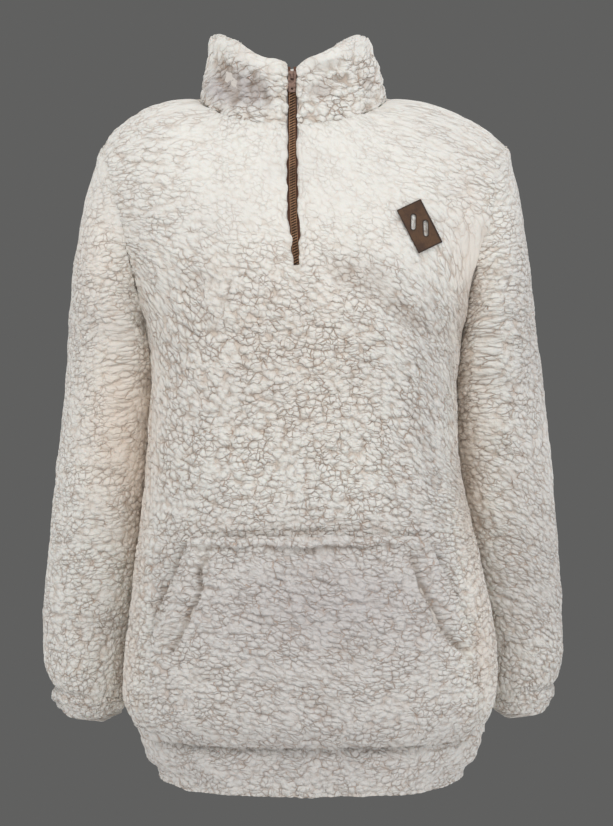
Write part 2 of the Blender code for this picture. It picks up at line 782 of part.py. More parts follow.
def make_pocket(seat):
    """The pouch stands off the front inside, is sewn top, bottom and low sides, and open aslant."""
    shares = pocket_columns()
    step = (GIRTHS[-1].z - GIRTHS[0].z) / LOWER_ROWS / 2
    levels = [POCKET_TOP_Z, POCKET_TOP_Z - POCKET_TOP_ROLL / 2, POCKET_TOP_Z - POCKET_TOP_ROLL]
    above = [GIRTHS[0].z + step * k for k in range(2, 2 * LOWER_ROWS)]
    levels += [z for z in reversed(above) if z < levels[-1] - step / 2]
    levels += [(levels[-1] + POCKET_BOTTOM_Z) / 2, POCKET_BOTTOM_Z]
    stitch_columns = (2, len(shares) - 3)
    slant_end = (POCKET_TOP_Z - POCKET_SLANT_Z) / (POCKET_TOP_Z - POCKET_BOTTOM_Z)
    inner, outer = [], []
    for j, z in enumerate(levels):
        down = (POCKET_TOP_Z - z) / (POCKET_TOP_Z - POCKET_BOTTOM_Z)
        left, right = pocket_edge(0, z), pocket_edge(1, z)
        open_here = sin(pi * min(down / slant_end, 1))
        low_row, high_row = [], []
        for i, share in enumerate(shares):
            x = left + (right - left) * share
            room = POCKET_SWELL * sin(pi * down) ** 0.7 * sin(pi * share) ** 0.5
            mouth = POCKET_MOUTH * open_here * bump(min(share, 1 - share), 0.16)
            lift = POCKET_SEAT + max(room, mouth)
            groove = 0.0
            if i in stitch_columns and z > POCKET_SLANT_Z:
                groove = POCKET_HEM_GROOVE
            if j == 2:
                groove = POCKET_HEM_GROOVE
            swell = 1.5 if j == 1 else 0.0
            low_row.append(seat.above(x, z, lift))
            high_row.append(seat.above(x, z, lift + FLEECE + swell - groove))
        inner.append(low_row)
        outer.append(high_row)
    return finish("pocket", plate_between(inner, outer), FLEECE_COLOUR, 0.9)


def slot_punch(centre, across, up, lean):
    """A bar with round ends that reaches through the patch, to cut one of its two slots."""
    mesh = bmesh.new()
    radius = PATCH_SLOT_WIDTH / 2
    ends = {-1: radius - PATCH_SLOT_LENGTH / 2, 1: PATCH_SLOT_LENGTH / 2 - radius}
    bmesh.ops.create_cone(
        mesh, cap_ends=True, segments=16, radius1=radius, radius2=radius, depth=40,
        matrix=Matrix.Rotation(radians(90), 4, "X") @ Matrix.Rotation(radians(11.25), 4, "Z"),
    )
    turn = Matrix.Rotation(radians(lean), 3, "Y")
    for vertex in mesh.verts:
        vertex.co.z += ends[1 if vertex.co.z > 0 else -1]
        place = centre + Vector((across, 0, up)) + turn @ vertex.co
        vertex.co = place * METRES
    return mesh


def make_patch(seat):
    """The leather patch lies on the pile of the wearer's left chest, turned on its corner."""
    turn = Matrix.Rotation(radians(PATCH_TURN), 2)
    grids = []
    for lift in (PATCH_SEAT, PATCH_SEAT + PATCH_THICKNESS):
        rows = []
        for j in range(-4, 5):
            row = []
            for i in range(-2, 3):
                place = turn @ Vector((PATCH_WIDTH * i / 4, PATCH_LENGTH * j / 8))
                row.append(seat.above(PATCH_CENTRE[0] + place.x, PATCH_CENTRE[1] + place.y, lift))
            rows.append(row)
        grids.append(rows)
    plate = plate_between(*grids)
    slots = [slot_punch(grids[0][4][2], *slot) for slot in PATCH_SLOTS]
    return combined("leather_patch", plate, slots, "DIFFERENCE", LEATHER_COLOUR, 0.5, 0.0)


# ---------------------------------------------------------------- zip


def zip_line(front, collar):
    """Middle of the slot from its lower end to the collar's top: (point, outward) pairs."""
    middle = HALF_COLUMNS
    pairs = [
        (row[middle], row[middle + 1]) for row in front.rows[LOWER_ROWS + ZIP_END_ROW :]
    ]
    pairs += [(row[-1], row[0]) for row in collar.rows[1:]]
    points = [(a + b) / 2 for a, b in pairs]
    line = []
    for k, point in enumerate(points):
        run = points[min(k + 1, len(points) - 1)] - points[max(k - 1, 0)]
        line.append((point, Vector((1, 0, 0)).cross(run).normalized()))
    return line


def on_tape(line, lift):
    """The zip line moved in to the front of the tape, then out again by lift."""
    return [point - out * (FLEECE + TAPE_BELOW - lift) for point, out in line]


def strip(name, path_low, path_high, edges, colour, roughness):
    """A flat strip along two paths, one above the other; edges holds each row's two x offsets."""
    grids = [
        [[p + Vector((x, 0, 0)) for x in across] for p, across in zip(path, edges)]
        for path in (path_low, path_high)
    ]
    return finish(name, plate_between(*grids), colour, roughness)


def point_on(line, z):
    """Where the zip line passes a height, and the way out of the cloth there."""
    for (low, out_low), (high, out_high) in zip(line, line[1:]):
        if low.z <= z <= high.z:
            t = (z - low.z) / (high.z - low.z)
            return low.lerp(high, t), out_low.lerp(out_high, t).normalized()
    return line[-1]


def make_tapes(line):
    """The two halves of the tape, side by side up to the slider's post and parted above it."""
    start, out = line[0]
    down = (line[0][0] - line[1][0]).normalized()
    throat = SLIDER_TOP_Z - POST_LENGTH - 2 * CLEARANCE
    rows = [(start + down * TAPE_RUN_OUT, out)]
    rows += [pair for pair in line if pair[0].z < throat - 3]
    rows += [point_on(line, throat - 2), point_on(line, throat), line[-1]]
    near = [SEAM_GAP / 2] * (len(rows) - 2) + [TAPE_PARTING] * 2
    back, face = on_tape(rows, -TAPE_THICKNESS), on_tape(rows, 0.0)
    right = [(-TAPE_HALF, -x) for x in near]
    left = [(x, TAPE_HALF) for x in near]
    strip("zip_tape_right", back, face, right, ZIP_COLOUR, 0.9)
    strip("zip_tape_left", back, face, left, ZIP_COLOUR, 0.9)


def make_chain(line):
    """The interlocked coil, as its outer shape, from the slot's end up into the slider."""
    throat = SLIDER_TOP_Z - POST_LENGTH - 3 * CLEARANCE
    kept = [point_on(line, line[0][0].z + CHAIN_START)]
    kept += [pair for pair in line[1:] if pair[0].z < throat - 3] + [point_on(line, throat)]
    low, high = on_tape(kept, CLEARANCE), on_tape(kept, CLEARANCE + CHAIN_HEIGHT)
    edges = [(-CHAIN_WIDTH / 2, CHAIN_WIDTH / 2)] * len(kept)
    strip("zip_chain", low, high, edges, ZIP_COLOUR, 0.5)


def slider_place(line):
    """The slider's own frame: X across, Y into the cloth from the tape's face, Z up the zip."""
    middle, out = point_on(line, SLIDER_TOP_Z - SLIDER_LENGTH / 2)
    across = Vector((1, 0, 0))
    turn = Matrix((across, -out, across.cross(-out))).transposed().to_4x4()
    seat = middle - out * (FLEECE + TAPE_BELOW)
    return Matrix.Translation(seat * METRES) @ turn


def block(low, high, taper=1.0):
    """A closed box between two corners, its lower end narrowed by taper."""
    mesh = bmesh.new()
    centre, size = (low + high) / 2, high - low
    place = Matrix.Translation(centre) @ Matrix.Diagonal((*size, 1))
    bmesh.ops.create_cube(mesh, size=1, matrix=place)
    for vertex in mesh.verts:
        if vertex.co.z < centre.z:
            vertex.co.x *= taper
        vertex.co *= METRES
    return mesh


def combined(name, first, others, operation, colour, roughness=0.35, metallic=0.9):
    """The first bmesh with the others joined to it or cut from it, as one closed object."""
    made = finish(name, first, colour, roughness, metallic)
    for k, other in enumerate(others):
        helper = finish(f"{name}_{k}", other, colour)
        step = made.modifiers.new("shape", "BOOLEAN")
        step.operation, step.solver, step.object = operation, "EXACT", helper
        bpy.context.view_layer.update()
        evaluated = made.evaluated_get(bpy.context.evaluated_depsgraph_get())
        data = bpy.data.meshes.new_from_object(evaluated)
        made.modifiers.remove(step)
        made.data = data
        data.name = name
        bpy.data.objects.remove(helper)
    mesh = bmesh.new()
    mesh.from_mesh(made.data)
    bmesh.ops.remove_doubles(mesh, verts=mesh.verts, dist=WELD * METRES)
    bmesh.ops.dissolve_degenerate(mesh, edges=mesh.edges, dist=WELD * METRES)
    bmesh.ops.triangulate(mesh, faces=mesh.faces)
    mesh.to_mesh(made.data)
    mesh.free()
    return made


def make_slider(place):
    """Two plates joined by a post, flanges beside the coil, and the crown that holds the pull."""
    half = SLIDER_LENGTH / 2
    taper = SLIDER_NOSE_HALF / SLIDER_HALF
    flange = CHAIN_WIDTH / 2 + CLEARANCE
    roof = -(2 * CLEARANCE + CHAIN_HEIGHT)
    floor = TAPE_THICKNESS + CLEARANCE
    top = block(
        Vector((-SLIDER_HALF, roof - SLIDER_PLATE, -half)), Vector((SLIDER_HALF, roof, half)), taper
    )
    sides = [
        block(Vector((x0, roof - 0.5, -half)), Vector((x1, -CLEARANCE, half)), taper)
        for x0, x1 in ((-SLIDER_HALF, -flange / taper), (flange / taper, SLIDER_HALF))
    ]
    bottom = block(
        Vector((-SLIDER_HALF, floor, -half)),
        Vector((SLIDER_HALF, floor + SLIDER_PLATE, half)),
        taper,
    )
    post = block(
        Vector((-POST_HALF, roof - 0.5, half - POST_LENGTH)),
        Vector((POST_HALF, floor + 0.5, half)),
    )
    crown_top = half + CROWN_TOP
    front = roof - SLIDER_PLATE
    high = front - CROWN_EYE - CROWN_BAR
    crown = block(
        Vector((-CROWN_HALF, high, crown_top - CROWN_LENGTH)),
        Vector((CROWN_HALF, front + 0.5, crown_top)),
    )
    eye = block(
        Vector((-CROWN_HALF - 1, front - CROWN_EYE, crown_top - CROWN_LENGTH + CROWN_BAR)),
        Vector((CROWN_HALF + 1, front, crown_top - CROWN_BAR)),
    )
    arch = combined("crown_part", crown, [eye], "DIFFERENCE", METAL_COLOUR)
    arch_mesh = bmesh.new()
    arch_mesh.from_mesh(arch.data)
    bpy.data.objects.remove(arch)
    slider = combined("zip_slider", top, sides + [post, bottom, arch_mesh], "UNION", METAL_COLOUR)
    slider.matrix_world = place
    return slider


def make_pull(place):
    """The pull tab, with its origin on the bar that turns in the crown's eye; it hangs down."""
    half = PULL_THICKNESS / 2
    top, bottom = PULL_BAR / 2, PULL_BAR / 2 - PULL_LENGTH
    plate = block(Vector((-PULL_HALF, -half, bottom)), Vector((PULL_HALF, half, top)))
    corners = [edge for edge in plate.edges if abs(edge.verts[0].co.y - edge.verts[1].co.y) > 1e-6]
    bmesh.ops.bevel(
        plate, geom=corners, offset=1.2 * METRES, segments=3, profile=0.5,
        affect="EDGES", material=-1,
    )
    window = block(
        Vector((-PULL_WINDOW_HALF, -2, -PULL_BAR / 2 - PULL_WINDOW)),
        Vector((PULL_WINDOW_HALF, 2, -PULL_BAR / 2)),
    )
    hole = bmesh.new()
    bmesh.ops.create_cone(
        hole, cap_ends=True, segments=12, radius1=PULL_HOLE_RADIUS * METRES,
        radius2=PULL_HOLE_RADIUS * METRES, depth=4 * METRES,
        matrix=Matrix.Translation(Vector((0, 0, bottom + PULL_HOLE_UP)) * METRES)
        @ Matrix.Rotation(pi / 2, 4, "X"),
    )
    pull = combined("pull_tab", plate, [window, hole], "DIFFERENCE", METAL_COLOUR)
    front = -(2 * CLEARANCE + CHAIN_HEIGHT + SLIDER_PLATE)
    up = SLIDER_LENGTH / 2 + CROWN_TOP - CROWN_BAR - CLEARANCE - PULL_BAR / 2
    bar = Vector((0, front - PULL_LIFT - half, up))
    pull.matrix_world = place @ Matrix.Translation(bar * METRES)
    return pull


# ---------------------------------------------------------------- the garment


def main():
    for obj in list(bpy.data.objects):
        bpy.data.objects.remove(obj)
    front, back = front_sheet(), back_sheet()
    right_sleeve = sleeve_sheet("sleeve_right", -1, armhole(front, back, -1))
    left_sleeve = sleeve_sheet("sleeve_left", 1, armhole(front, back, 1))
    collar = collar_sheet(front, back)
    sheets = [
        front,
        back,
        right_sleeve,
        left_sleeve,
        collar,
        cuff_sheet("cuff_right", -1, right_sleeve),
        cuff_sheet("cuff_left", 1, left_sleeve),
        band_sheet(front, back),
    ]
    share_seams(sheets)
    made = [wall(sheet) for sheet in sheets]
    bpy.context.view_layer.update()
    seat = Seat(made[0])
    make_pocket(seat)
    make_patch(seat)
    line = zip_line(front, collar)
    make_tapes(line)
    make_chain(line)
    place = slider_place(line)
    make_slider(place)
    make_pull(place)


main()
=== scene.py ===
"""A quarter-zip pullover in curly fleece, dressed on the solids of its frame.

Every piece is one Operator, and the sizes and colours that a user would change are properties of
the scene. Lengths are in metres, the front faces -Y and +Z is up.
"""

from collections import namedtuple
from math import cos, hypot, pi, radians, sin

import bmesh
import bpy
import numpy as np
from mathutils import Matrix, Vector
from mathutils.bvhtree import BVHTree
from mathutils.kdtree import KDTree


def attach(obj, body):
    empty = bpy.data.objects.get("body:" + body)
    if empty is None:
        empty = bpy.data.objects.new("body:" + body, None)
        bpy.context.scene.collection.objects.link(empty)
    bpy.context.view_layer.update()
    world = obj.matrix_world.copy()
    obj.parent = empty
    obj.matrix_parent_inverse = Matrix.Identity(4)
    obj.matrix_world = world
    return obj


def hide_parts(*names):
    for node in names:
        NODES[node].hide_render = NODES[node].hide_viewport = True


bl_info = {
    "name": "Fleece Pullover",
    "version": (1, 0, 0),
    "blender": (4, 5, 0),
    "location": "View3D > Sidebar > Pullover",
    "description": "A quarter-zip pullover in curly fleece with a pouch pocket",
    "category": "Object",
}

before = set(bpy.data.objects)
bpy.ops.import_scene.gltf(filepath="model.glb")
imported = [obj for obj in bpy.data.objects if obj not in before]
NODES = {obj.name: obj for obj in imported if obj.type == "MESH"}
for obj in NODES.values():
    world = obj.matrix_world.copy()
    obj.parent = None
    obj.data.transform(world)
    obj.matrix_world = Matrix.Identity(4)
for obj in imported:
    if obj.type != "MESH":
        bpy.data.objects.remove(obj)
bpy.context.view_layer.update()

MM = 0.001
OUTER, INNER, RIM = 0, 1, 2  # which side of the cloth a face is on
SHARP = radians(42)  # faces that meet at more than this are on different sides of the cloth
THICKEST = 9.5 * MM  # a face with more cloth straight behind it than this is a cut edge
SEWN_GAP = 1.6 * MM  # pieces that lie nearer than this are sewn to each other
NO_SEAM = 99.0  # distance from a seam that the inside is given, in millimetres
HEM_MIDDLE = 18  # place across of the hem's middle, in millimetres
SLEEVE_RADIUS = 46  # in millimetres

# ------------------------------------------------------------------ tables of the cloth

# Where the curls are flat and where they stand up: (x, z, reach across, reach up, change).
Patchy = namedtuple("Patchy", "x z across up change")
# A soft line pressed into or raised from the cloth, between two places of a panel, in millimetres.
# Places in these tables are as seen from the eye, which is level with the waist.
Crease = namedtuple("Crease", "x0 z0 x1 z1 bow width depth")
EYE = (13.5, -2000.0, -316.0)  # in millimetres


def creases(*rows):
    return tuple(Crease(*row) for row in rows)


def patches(*rows):
    return tuple(Patchy(*row) for row in rows)


FRONT_CREASES = creases(
    # chest, below the wearer's right armhole
    (-122, -191, -66, -186, 4, 9, 2.2), (-108, -224, -62, -203, -5, 8, 2.4),
    (-112, -236, -50, -237, 3, 7, 1.8), (-118, -262, -92, -250, 2, 7, 1.6),
    (-70, -204, -42, -196, 2, 8, 1.2),
    # long soft trough to the wearer's left side
    (46, -172, 112, -222, 8, 17, 3.4), (112, -222, 160, -238, -4, 14, 2.2),
    # the ridge beside it
    (96, -232, 150, -330, 10, 15, -2.6), (128, -262, 148, -334, -6, 10, 2.0),
    (104, -292, 132, -356, 5, 11, 1.5), (118, -330, 150, -402, 6, 9, 1.6),
    (20, -148, 64, -196, 5, 11, 1.1), (36, -128, 92, -176, -6, 10, 1.0),
    (-58, -112, -14, -150, -5, 12, 0.9), (-96, -330, -30, -322, 6, 12, 1.0),
    (-20, -372, 70, -364, -5, 14, 1.0), (-118, -398, -50, -408, -4, 12, 1.1),
    (96, -404, 158, -452, 5, 10, 1.4), (132, -470, 160, -520, 4, 9, 1.2),
    (-136, -470, -118, -540, -3, 10, 1.5), (-150, -560, -132, -622, 4, 9, 1.4),
    (-104, -648, -40, -652, 3, 8, 1.5), (60, -646, 128, -648, -4, 8, 1.7),
    (150, -606, 188, -634, 4, 9, 2.0),
)
BACK_CREASES = creases(
    (-120, -180, -58, -196, 5, 14, 2.0), (-128, -232, -70, -226, -4, 12, 2.2),
    (70, -186, 140, -174, 5, 13, 2.0), (82, -238, 146, -232, -6, 12, 1.8),
    (-64, -60, 76, -64, 9, 20, 1.4), (-30, -110, -96, -150, 6, 16, 1.3),
    (44, -104, 118, -142, -7, 17, 1.3), (-96, -300, -120, -390, 7, 15, 1.8),
    (-40, -330, -62, -450, -8, 18, 1.4), (110, -290, 140, -380, -6, 15, 1.7),
    (40, -350, 66, -440, 7, 17, 1.2), (-110, -470, -30, -462, 5, 14, 1.2),
    (50, -498, 142, -482, -6, 15, 1.4), (-140, -560, -116, -618, 4, 12, 1.5),
    (-30, -574, -22, -626, -3, 12, 1.1), (72, -566, 86, -622, 4, 13, 1.2),
    (150, -572, 178, -620, 4, 12, 1.6),
)
SLEEVE_CREASES = {
    -1: creases(
        (-196, -120, -172, -168, 4, 9, 1.6), (-214, -236, -158, -246, 5, 10, 1.3),
        (-182, -262, -150, -288, -3, 8, 1.6), (-216, -312, -160, -322, -4, 10, 1.2),
        (-200, -372, -156, -394, 4, 8, 1.5), (-196, -392, -160, -414, 3, 7, 1.4),
        (-208, -420, -164, -446, -3, 8, 1.6), (-226, -452, -176, -470, 4, 9, 1.1),
        (-236, -520, -186, -530, -4, 10, 1.0), (-228, -562, -190, -570, 3, 8, 1.4),
        (-216, -586, -182, -580, 2, 7, 1.5),
    ),
    1: creases(
        (206, -104, 188, -150, 4, 9, 1.6), (186, -176, 224, -186, 4, 8, 1.5),
        (182, -208, 232, -224, -5, 9, 1.8), (180, -240, 226, -250, 4, 8, 1.7),
        (184, -274, 240, -296, -5, 9, 1.9), (182, -304, 232, -316, 4, 8, 1.7),
        (190, -340, 244, -362, -4, 9, 1.5), (188, -384, 240, -396, 4, 9, 1.4),
        (196, -430, 250, -452, -4, 10, 1.2), (206, -492, 256, -504, 4, 10, 1.1),
        (208, -548, 246, -562, -3, 8, 1.5), (214, -584, 252, -578, 3, 7, 1.5),
    ),
}
COLLAR_CREASES = creases(
    # hollow low on the wearer's right
    (-74, 30, -58, 2, 3, 12, 7.5), (-46, 24, -38, -8, 3, 8, 4.6),
    # slanting fold and the ridge beside it
    (-36, 20, -25, -9, 2, 4, 4.6), (-28, 18, -17, -9, 2, 6, -2.4), (-60, 34, -50, 6, 2, 6, -2.0),
    (14, 33, 48, 31, -2, 4, 3.4), (34, 15, 58, 17, 2, 5, 3.4), (14, 24, 42, 20, 2, 5, 2.4),
    (16, 9, 34, 4, 2, 8, 4.6), (20, 40, 56, 44, -2, 6, -2.0), (64, 26, 80, 4, 3, 7, 2.6),
)
# The rows of stitches that hold the pocket's turned edges, and the edges' swell.
POCKET_LINES = creases(
    (-98, -453, 128, -452, 1.2, 2.8, 3.6), (-88, -458, -95, -500, -2, 2.4, 4.2),
    (-95, -500, -108, -528, -1, 2.6, 4.4), (-108, -528, -127, -560, 1, 2.4, 4.0),
    (117, -456, 126, -480, 1, 2.2, 3.6), (126, -480, 137, -505, -1, 2.6, 4.6),
    (137, -505, 148, -533, 1, 2.8, 5.2), (148, -533, 176, -564, 3, 2.6, 4.4),
    (-104, -444, 130, -444, 1, 6, -3.4), (-99, -458, -110, -500, -1, 7, -5.0),
    (-110, -500, -136, -548, 0, 7, -5.0), (128, -456, 146, -502, 1, 7, -4.6),
    (146, -502, 170, -542, 0, 7, -4.6), (-60, -520, 20, -534, 5, 16, 1.6),
    (30, -560, 100, -548, -5, 15, 1.6), (-100, -580, -64, -592, 4, 9, 2.4),
    (-20, -600, 60, -612, -4, 14, 1.6),
)
# Where the front lies in the shade of the pocket's two openings.
OPENING_LINES = creases(
    (-109, -456, -137, -538, 0, 8, 5.6), (139, -460, 162, -518, 0, 7, 5.0),
    (162, -518, 182, -552, 0, 7, 4.0), (-104, -438, 130, -438, 1, 5, 1.6),
)

# How far the curls stand up: 0 is brushed flat and 1 is full depth.
FRONT_PATCHY = patches(
    (10, -55, 240, 115, -0.73), (80, -130, 90, 70, -0.2), (-60, -120, 60, 45, -0.2),
    (181, -160, 14, 40, -0.5), (20, -230, 150, 60, 0.15), (120, -200, 60, 60, -0.12),
)
COLLAR_ROLL = (  # places along the smooth roll of its top edge
    (-80, 50), (-66, 54), (-50, 46), (-34, 40), (-18, 37), (0, 34), (18, 36), (34, 42), (50, 50), (66, 57),
    (80, 50),
)
COLLAR_PATCHY = patches(*((x, z, 16, 9, -0.62) for x, z in COLLAR_ROLL))
SLEEVE_PATCHY = patches(
    (-190, -60, 70, 90, -0.5), (215, -60, 70, 90, -0.5), (-190, -330, 60, 110, -0.22),
    (250, -330, 40, 150, -0.2),
)
BACK_PATCHY = patches((10, -30, 240, 90, -0.45))

# Painted warm bounce light and warm shade where the sleeves meet the body, and a faint warm tone on the
# chest, over the cream, by place: (x, z, reach across, reach up, amount).
WARM_BOUNCE_AND_TONE = patches(
    (-176, -330, 34, 90, 0.9), (-196, -160, 30, 60, 0.35), (176, -260, 20, 130, 1.0),
    (180, -420, 22, 100, 0.9), (-152, -300, 10, 80, 0.6), (-160, -460, 14, 110, 0.9),
    (-172, -580, 12, 50, 0.6), (192, -550, 18, 70, 0.9), (8, -250, 130, 120, 0.25),
)
# Where the sleeves lie in the shade of the body.
SLEEVE_SHADE = patches(
    (168, -150, 9, 50, 0.25), (172, -230, 12, 60, 0.55), (172, -340, 14, 80, 0.6),
    (180, -460, 16, 70, 0.4), (196, -560, 12, 60, 0.1), (-150, -270, 10, 50, 0.4),
    (-150, -380, 14, 90, 0.35), (-162, -500, 12, 70, 0.15),
)
# Painted cool shade over the cream, low on the body and pocket, at the sides and sleeves and in the collar's
# hollow, with the same columns.
COOL_SHADE_SPOTS = patches(
    (35, -505, 180, 80, 0.9), (20, -640, 230, 60, 0.5), (20, -680, 230, 22, 0.25),
    (240, -300, 40, 260, 0.3), (150, -330, 40, 140, 0.3), (120, -230, 40, 60, 0.2),
    # painted shade low in the collar's hollow
    (-62, 10, 27, 17, 1.5), (-34, 2, 12, 12, 0.6), (26, 6, 12, 8, 0.5),
)

ZIP_MIDDLE = ((-190, 3.9), (-170, 3.6), (-150, 2.0), (-100, 0.0), (60, -0.6))  # height, place across
SHOULDER_TIPS = ((-195, -49), (217, -49))  # across and up, in millimetres
SNUG = (  # how far each sleeve leans in to the body: height, millimetres
    (-620, 0), (-560, 4), (-500, 6), (-450, 7), (-380, 7.5), (-320, 10.5), (-262, 14), (-238, 14), (-212, 4),
    (-195, 0),
)

# One row for each cloth piece: its node, the middle and reach of the ring that it goes round,
# the width and height of its curls and how deep they are cut, its mesh cuts up and around, the
# cut of what shows, that cut's area, and what it hangs from or lies on. Rings and curls are in
# millimetres, cuts and areas in metres.
Cloth = namedtuple("Cloth", "node ring curl depth cuts flat area held rests")
TORSO = (13, 0, 172, 118)
COLLAR = (0, 0, 88, 66)
PANELS = ("front", "back")
SLEEVE, CUFF = ((0.33, 0.56), 0.127, "hung"), ((0.235, 0.03), 0.0063, "gathered")
CLOTHS = {
    row[0]: Cloth(*row)
    for row in (
        ("front", TORSO, (6.2, 6.0), 2.6, (2, 1), (0.53, 0.64), 0.28, "hung", ("back", "collar")),
        ("back", TORSO, (6.4, 6.2), 2.5, (1, 1), (0.52, 0.66), 0.273, "hung", ("collar",)),
        ("sleeve_right", None, (5.6, 5.6), 2.1, (2, 1), *SLEEVE, PANELS),
        ("sleeve_left", None, (5.8, 5.4), 2.2, (2, 1), *SLEEVE, PANELS),
        ("cuff_right", None, (5.4, 5.0), 1.7, (0, 1), *CUFF, ("sleeve_right",)),
        ("cuff_left", None, (5.4, 5.0), 1.7, (0, 1), *CUFF, ("sleeve_left",)),
        ("hem_band", TORSO, (5.8, 5.4), 1.9, (1, 1), (0.88, 0.047), 0.04, "gathered", PANELS),
        ("collar", COLLAR, (7.8, 7.2), 3.6, (2, 1), (0.47, 0.085), 0.031, "gathered", PANELS),
        ("pocket", TORSO, (5.4, 5.2), 2.1, (2, 2), (0.32, 0.2), 0.0625, "laid", ("front",)),
    )
}


# ------------------------------------------------------------------ properties


def number(name, description, default, **more):
    return bpy.props.FloatProperty(name=name, description=description, default=default, **more)


def length(name, description, default, **more):
    return number(name, description, default, unit="LENGTH", precision=5, **more)


def power(name, description, default):
    return number(name, description, default, unit="POWER")


def colour(name, description, default):
    return bpy.props.FloatVectorProperty(
        name=name, description=description, default=default, subtype="COLOR", size=3, min=0, max=1
    )


class FleeceSettings(bpy.types.PropertyGroup):
    """Sizes and colours of the curly fleece."""

    curl_size: number("Curl size", "Size of the curls against the piece's own", 1.0, min=0.5, max=2)
    curl_depth: number("Curl depth", "Depth of the curls against the piece's own", 1.0, min=0, max=2)
    edge_round: bpy.props.IntProperty(
        name="Edge rounding", description="How often the cut edges are relaxed", default=3, min=0, max=12
    )
    edge_swell: length("Edge swell", "How far the curls along a seam push over it", 0.0019, min=0, max=0.003)
    cream: colour("Curl tips", "Colour of the tips of the curls", (0.865, 0.85, 0.785))
    # Painted shade: the curls' low sides are coloured darker and warmer than their lit tips.
    shade: colour("Curl sides", "Colour of the sides of the curls", (0.74, 0.665, 0.575))
    # Painted shade in the cracks and pits between the curls; the knitted backing itself is pale.
    gap: colour("Gaps", "Colour of the backing seen between curls", (0.55, 0.36, 0.24))
    # Painted shade low in folds and creases and beside seams.
    fold: colour("Folds", "Colour low in a fold or beside a seam", (0.40, 0.33, 0.27))
    # Painted warm bounce light and warm shade where the sleeves meet the body, and a faint warm tone.
    warm_bounce_and_tone: colour("Warm wash", "Where the cream is yellow or peach", (0.88, 0.72, 0.58))
    # Painted cool shade low on the body and in hollows, and faint random cool mottle.
    cool_shade_and_mottle: colour("Cool wash", "Where the cream is grey or lilac", (0.57, 0.535, 0.52))
    knit: colour("Backing", "Colour of the knitted inside", (0.78, 0.74, 0.69))


class TrimSettings(bpy.types.PropertyGroup):
    """Sizes and colours of the zip and the leather patch."""

    tooth_pitch: length("Tooth pitch", "From one coil loop to the next", 0.00275, min=0.0008, max=0.003)
    wire: length("Coil wire", "Thickness of the coil's wire", 0.00115, min=0.0003, max=0.002)
    tape: colour("Tape", "Colour of the woven zip tape", (0.135, 0.06, 0.036))
    coil: colour("Coil", "Colour of the zip's coil", (0.29, 0.165, 0.092))
    metal: colour("Metal", "Colour of the slider and its pull", (0.22, 0.145, 0.115))
    leather: colour("Leather", "Colour of the patch", (0.060, 0.027, 0.012))
    leather_edge: colour("Leather edge", "Colour of the patch's burnished edges", (0.022, 0.009, 0.004))


class StageSettings(bpy.types.PropertyGroup):
    """The floor, the lights and the camera."""

    drop: length("Floor", "How far the floor is below the neck", 1.42, min=0.8, max=2)
    floor_radius: length("Floor radius", "Half the width of the floor", 2.1, min=0.5, max=3)
    distance: length("Camera distance", "From the camera to the middle of the garment", 2.0, min=1, max=5)
    view_height: length("View height", "What the camera takes in at that distance", 0.826, min=0.3, max=3)
    backdrop: colour("Backdrop", "Plain grey behind the garment", (0.1170, 0.1170, 0.1150))
    key: power("Key light", "Power of the large front light", 15)
    fill: power("Fill light", "Power of the light from the other side", 9)
    back: power("Back light", "Power of the light behind", 11)
    top: power("Top light", "Power of the light above", 2)


SETTINGS = {
    "pullover_fleece": FleeceSettings,
    "pullover_trim": TrimSettings,
    "pullover_stage": StageSettings,
}


# ------------------------------------------------------------------ node trees


class Wires:
    """Adds nodes to a shader or geometry tree and joins them."""

    def __init__(self, tree):
        self.tree = tree

    def add(self, kind, inputs=(), **settings):
        node = self.tree.nodes.new(kind)
        for name, value in settings.items():
            setattr(node, name, value)
        for name, value in dict(inputs).items():
            self.join(value, node.inputs[name])
        return node

    def join(self, value, socket):
        if isinstance(value, bpy.types.NodeSocket):
            self.tree.links.new(value, socket)
        else:
            socket.default_value = value

    def math(self, operation, *values, clamp=False):
        node = self.add("ShaderNodeMath", enumerate(values), operation=operation, use_clamp=clamp)
        return node.outputs[0]

    def vector(self, operation, *values):
        node = self.add("ShaderNodeVectorMath", enumerate(values), operation=operation)
        return node.outputs[0]

    def scaled(self, vector, factor):
        node = self.add("ShaderNodeVectorMath", {0: vector, "Scale": factor}, operation="SCALE")
        return node.outputs[0]

    def ramp(self, value, low, high, to_low=0.0, to_high=1.0):
        """value from low to high, eased, as to_low to to_high."""
        node = self.add(
            "ShaderNodeMapRange",
            {"Value": value, "From Min": low, "From Max": high, "To Min": to_low, "To Max": to_high},
            interpolation_type="SMOOTHSTEP",
        )
        return node.outputs["Result"]

    def noise(self, vector, scale, detail=2.0, roughness=0.5, dimensions="2D", output=0):
        node = self.add(
            "ShaderNodeTexNoise",
            {"Vector": vector, "Scale": scale, "Detail": detail, "Roughness": roughness},
            noise_dimensions=dimensions,
        )
        return node.outputs[output]

    def cells(self, vector, scale, randomness=1.0, feature="DISTANCE_TO_EDGE", dimensions="2D"):
        node = self.add(
            "ShaderNodeTexVoronoi",
            {"Vector": vector, "Scale": scale, "Randomness": randomness},
            voronoi_dimensions=dimensions,
            feature=feature,
        )
        return node.outputs["Distance"]

    def mixed(self, factor, first, second):
        """Colours mixed by a factor."""
        node = self.add("ShaderNodeMix", data_type="RGBA", clamp_factor=True)
        for value, index in ((factor, 0), (first, 6), (second, 7)):
            if index and not isinstance(value, bpy.types.NodeSocket):
                value = (*value[:3], 1)
            self.join(value, node.inputs[index])
        return node.outputs[2]

    def bump(self, height, distance, strength=1.0, normal=None):
        inputs = {"Height": height, "Distance": distance, "Strength": strength}
        if normal is not None:
            inputs["Normal"] = normal
        return self.add("ShaderNodeBump", inputs).outputs[0]


